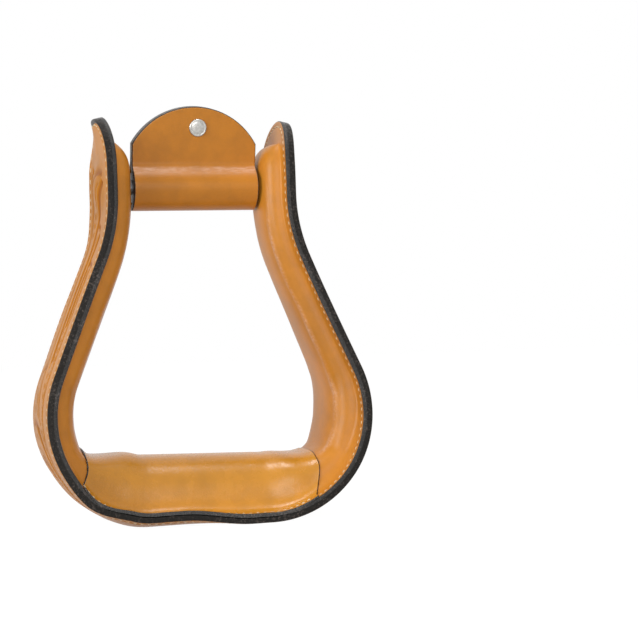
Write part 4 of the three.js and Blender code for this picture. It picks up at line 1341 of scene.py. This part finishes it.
class STIRRUP_OT_stitches(bpy.types.Operator):
    """Add the stitches of all seams"""

    bl_idname = "stirrup.stitches"
    bl_label = "Stitches"

    def execute(self, context):
        look = context.scene.stirrup_look
        material = thread_finish(look)
        counts = np.arange(SEAM_COUNT, dtype=float)

        def seam(name, node, rows):
            finish_piece(add_stitches(name, rows), "stirrup", [node], material)

        def outer_depth(place):
            return np.full(place.shape, THREAD_SUNK)

        both = (-1, 1)
        rows = [stitch_row(counts, leg, side, outer_depth, -1.0, look) for leg in both for side in both]
        seam("outer_stitches", "outer_seam_thread", rows)
        ends = [int(np.ceil(stitch_count(place))) for place in TREAD_COVER_ENDS]
        for name, leg, end in zip(("left", "right"), both, ends):
            rows = [stitch_row(counts[end:], leg, side, liner_seam_depth, 1.0, look) for side in both]
            seam(f"{name}_liner_stitches", f"{name}_liner_seam", rows)
        for name, side in zip(("front", "back"), both):
            rows = [stitch_row(counts[:end - 1], leg, side, tread_seam_depth, 1.0, look)
                    for leg, end in zip(both, ends)]
            seam(f"tread_{name}_stitches", f"tread_{name}_seam", rows)
        return {"FINISHED"}


class STIRRUP_OT_inner_parts(bpy.types.Operator):
    """Finish the wood and steel parts of the frame"""

    bl_idname = "stirrup.inner_parts"
    bl_label = "Wood and steel"

    def execute(self, context):
        look = context.scene.stirrup_look
        steel = metal_finish("zinc_plate", look.steel, roughness=0.38, scratches=0.4)
        materials = {"plain_steel": steel, "bent_wood": wood_finish()}
        for part in frame["record"]["subparts"]:
            node = frame["nodes"][part["node"]]
            material = materials.get(part["material_slot"])
            if material:
                node.data.materials.clear()
                node.data.materials.append(material)
        return {"FINISHED"}


class STIRRUP_OT_stage(bpy.types.Operator):
    """Add the floor, the lights and the camera"""

    bl_idname = "stirrup.stage"
    bl_label = "Stage"

    def execute(self, context):
        stage = context.scene.stirrup_stage
        add_floor(stage)
        add_world(stage)
        add_light("overhead", (0.05, -0.35, 1.6), 0.4, stage.overhead_power)
        add_light("left", (-1.5, -0.7, 0.4), 0.7, stage.left_power)
        add_light("front", (-0.25, -1.9, 0.35), 1.0, stage.front_power)
        add_camera(stage)
        context.scene.view_settings.view_transform = "Standard"
        return {"FINISHED"}


FLOOR_HALF = 4.0
FLOOR_SEEN = 0.88
LIGHTS_FACE = Vector((0, 0, 0.12))


def add_floor(stage):
    """A floor that is white to the camera and keeps a soft shadow"""
    mesh = bpy.data.meshes.new("studio_floor")
    corners = [(x * FLOOR_HALF, y * FLOOR_HALF, 0) for x, y in ((-1, -1), (1, -1), (1, 1), (-1, 1))]
    mesh.from_pydata(corners, [], [(0, 1, 2, 3)])
    floor = bpy.data.objects.new("studio_floor", mesh)
    bpy.context.scene.collection.objects.link(floor)
    finish = new_material("floor_white")
    dim = rgba(np.array(stage.backdrop) * stage.floor_tone)
    matt = finish.node("ShaderNodeBsdfDiffuse", None, {"Color": dim})
    glow = {"Color": rgba(stage.backdrop), "Strength": stage.floor_glow}
    plain = finish.node("ShaderNodeEmission", None, glow)
    seen = seen_directly(finish) * FLOOR_SEEN
    both = finish.node("ShaderNodeMixShader", None, {0: seen, 1: matt, 2: plain})
    mesh.materials.append(finish.end(both))


def seen_directly(finish):
    """1 for what the camera sees, straight or in a gloss, and 0 for the light that falls on the object"""
    camera = finish.node("ShaderNodeLightPath", output="Is Camera Ray")
    glossy = finish.node("ShaderNodeLightPath", output="Is Glossy Ray")
    through = finish.node("ShaderNodeLightPath", output="Is Transmission Ray")
    return camera.largest(glossy).largest(through)


def add_world(stage):
    """White behind the object, and the studio's dimmer walls for its light"""
    finish = Finish(bpy.data.worlds.new("studio"))
    strength = stage.surround + seen_directly(finish) * (1 - stage.surround)
    shader = finish.node("ShaderNodeBackground", None, {"Color": rgba(stage.backdrop), "Strength": strength})
    bpy.context.scene.world = finish.end(shader, "ShaderNodeOutputWorld")


def add_light(name, place, size, power):
    """A square soft light that faces the middle of the stirrup"""
    data = bpy.data.lights.new(name, "AREA")
    data.size, data.energy = size, power
    light = bpy.data.objects.new(name, data)
    light.location = place
    light.rotation_euler = (LIGHTS_FACE - Vector(place)).to_track_quat("-Z", "Y").to_euler()
    bpy.context.scene.collection.objects.link(light)


def add_camera(stage):
    data = bpy.data.cameras.new("camera")
    data.lens = stage.lens
    camera = bpy.data.objects.new("camera", data)
    camera.location = stage.camera_place
    camera.rotation_euler = stage.camera_turn
    bpy.context.scene.collection.objects.link(camera)
    bpy.context.scene.camera = camera


class STIRRUP_PT_panel(bpy.types.Panel):
    """The stirrup's pieces and their sizes and colours"""

    bl_idname = "STIRRUP_PT_panel"
    bl_label = "Stirrup"
    bl_space_type = "VIEW_3D"
    bl_region_type = "UI"
    bl_category = "Stirrup"

    def draw(self, context):
        for operator in OPERATORS:
            self.layout.operator(operator.bl_idname)
        for group in (context.scene.stirrup_look, context.scene.stirrup_stage):
            for key in group.bl_rna.properties.keys():
                if key not in ("rna_type", "name"):
                    self.layout.prop(group, key)


OPERATORS = (
    STIRRUP_OT_outer_cover,
    STIRRUP_OT_liners,
    STIRRUP_OT_tread_cover,
    STIRRUP_OT_roller_cover,
    STIRRUP_OT_stitches,
    STIRRUP_OT_inner_parts,
    STIRRUP_OT_stage,
)
CLASSES = (StirrupLook, StirrupStage, *OPERATORS, STIRRUP_PT_panel)


def register():
    for one in CLASSES:
        bpy.utils.register_class(one)
    bpy.types.Scene.stirrup_look = PointerProperty(type=StirrupLook)
    bpy.types.Scene.stirrup_stage = PointerProperty(type=StirrupStage)


def unregister():
    del bpy.types.Scene.stirrup_look
    del bpy.types.Scene.stirrup_stage
    for one in reversed(CLASSES):
        bpy.utils.unregister_class(one)


def main():
    register()
    for operator in OPERATORS:
        group, name = operator.bl_idname.split(".")
        getattr(getattr(bpy.ops, group), name)()


if __name__ == "__main__":
    main()
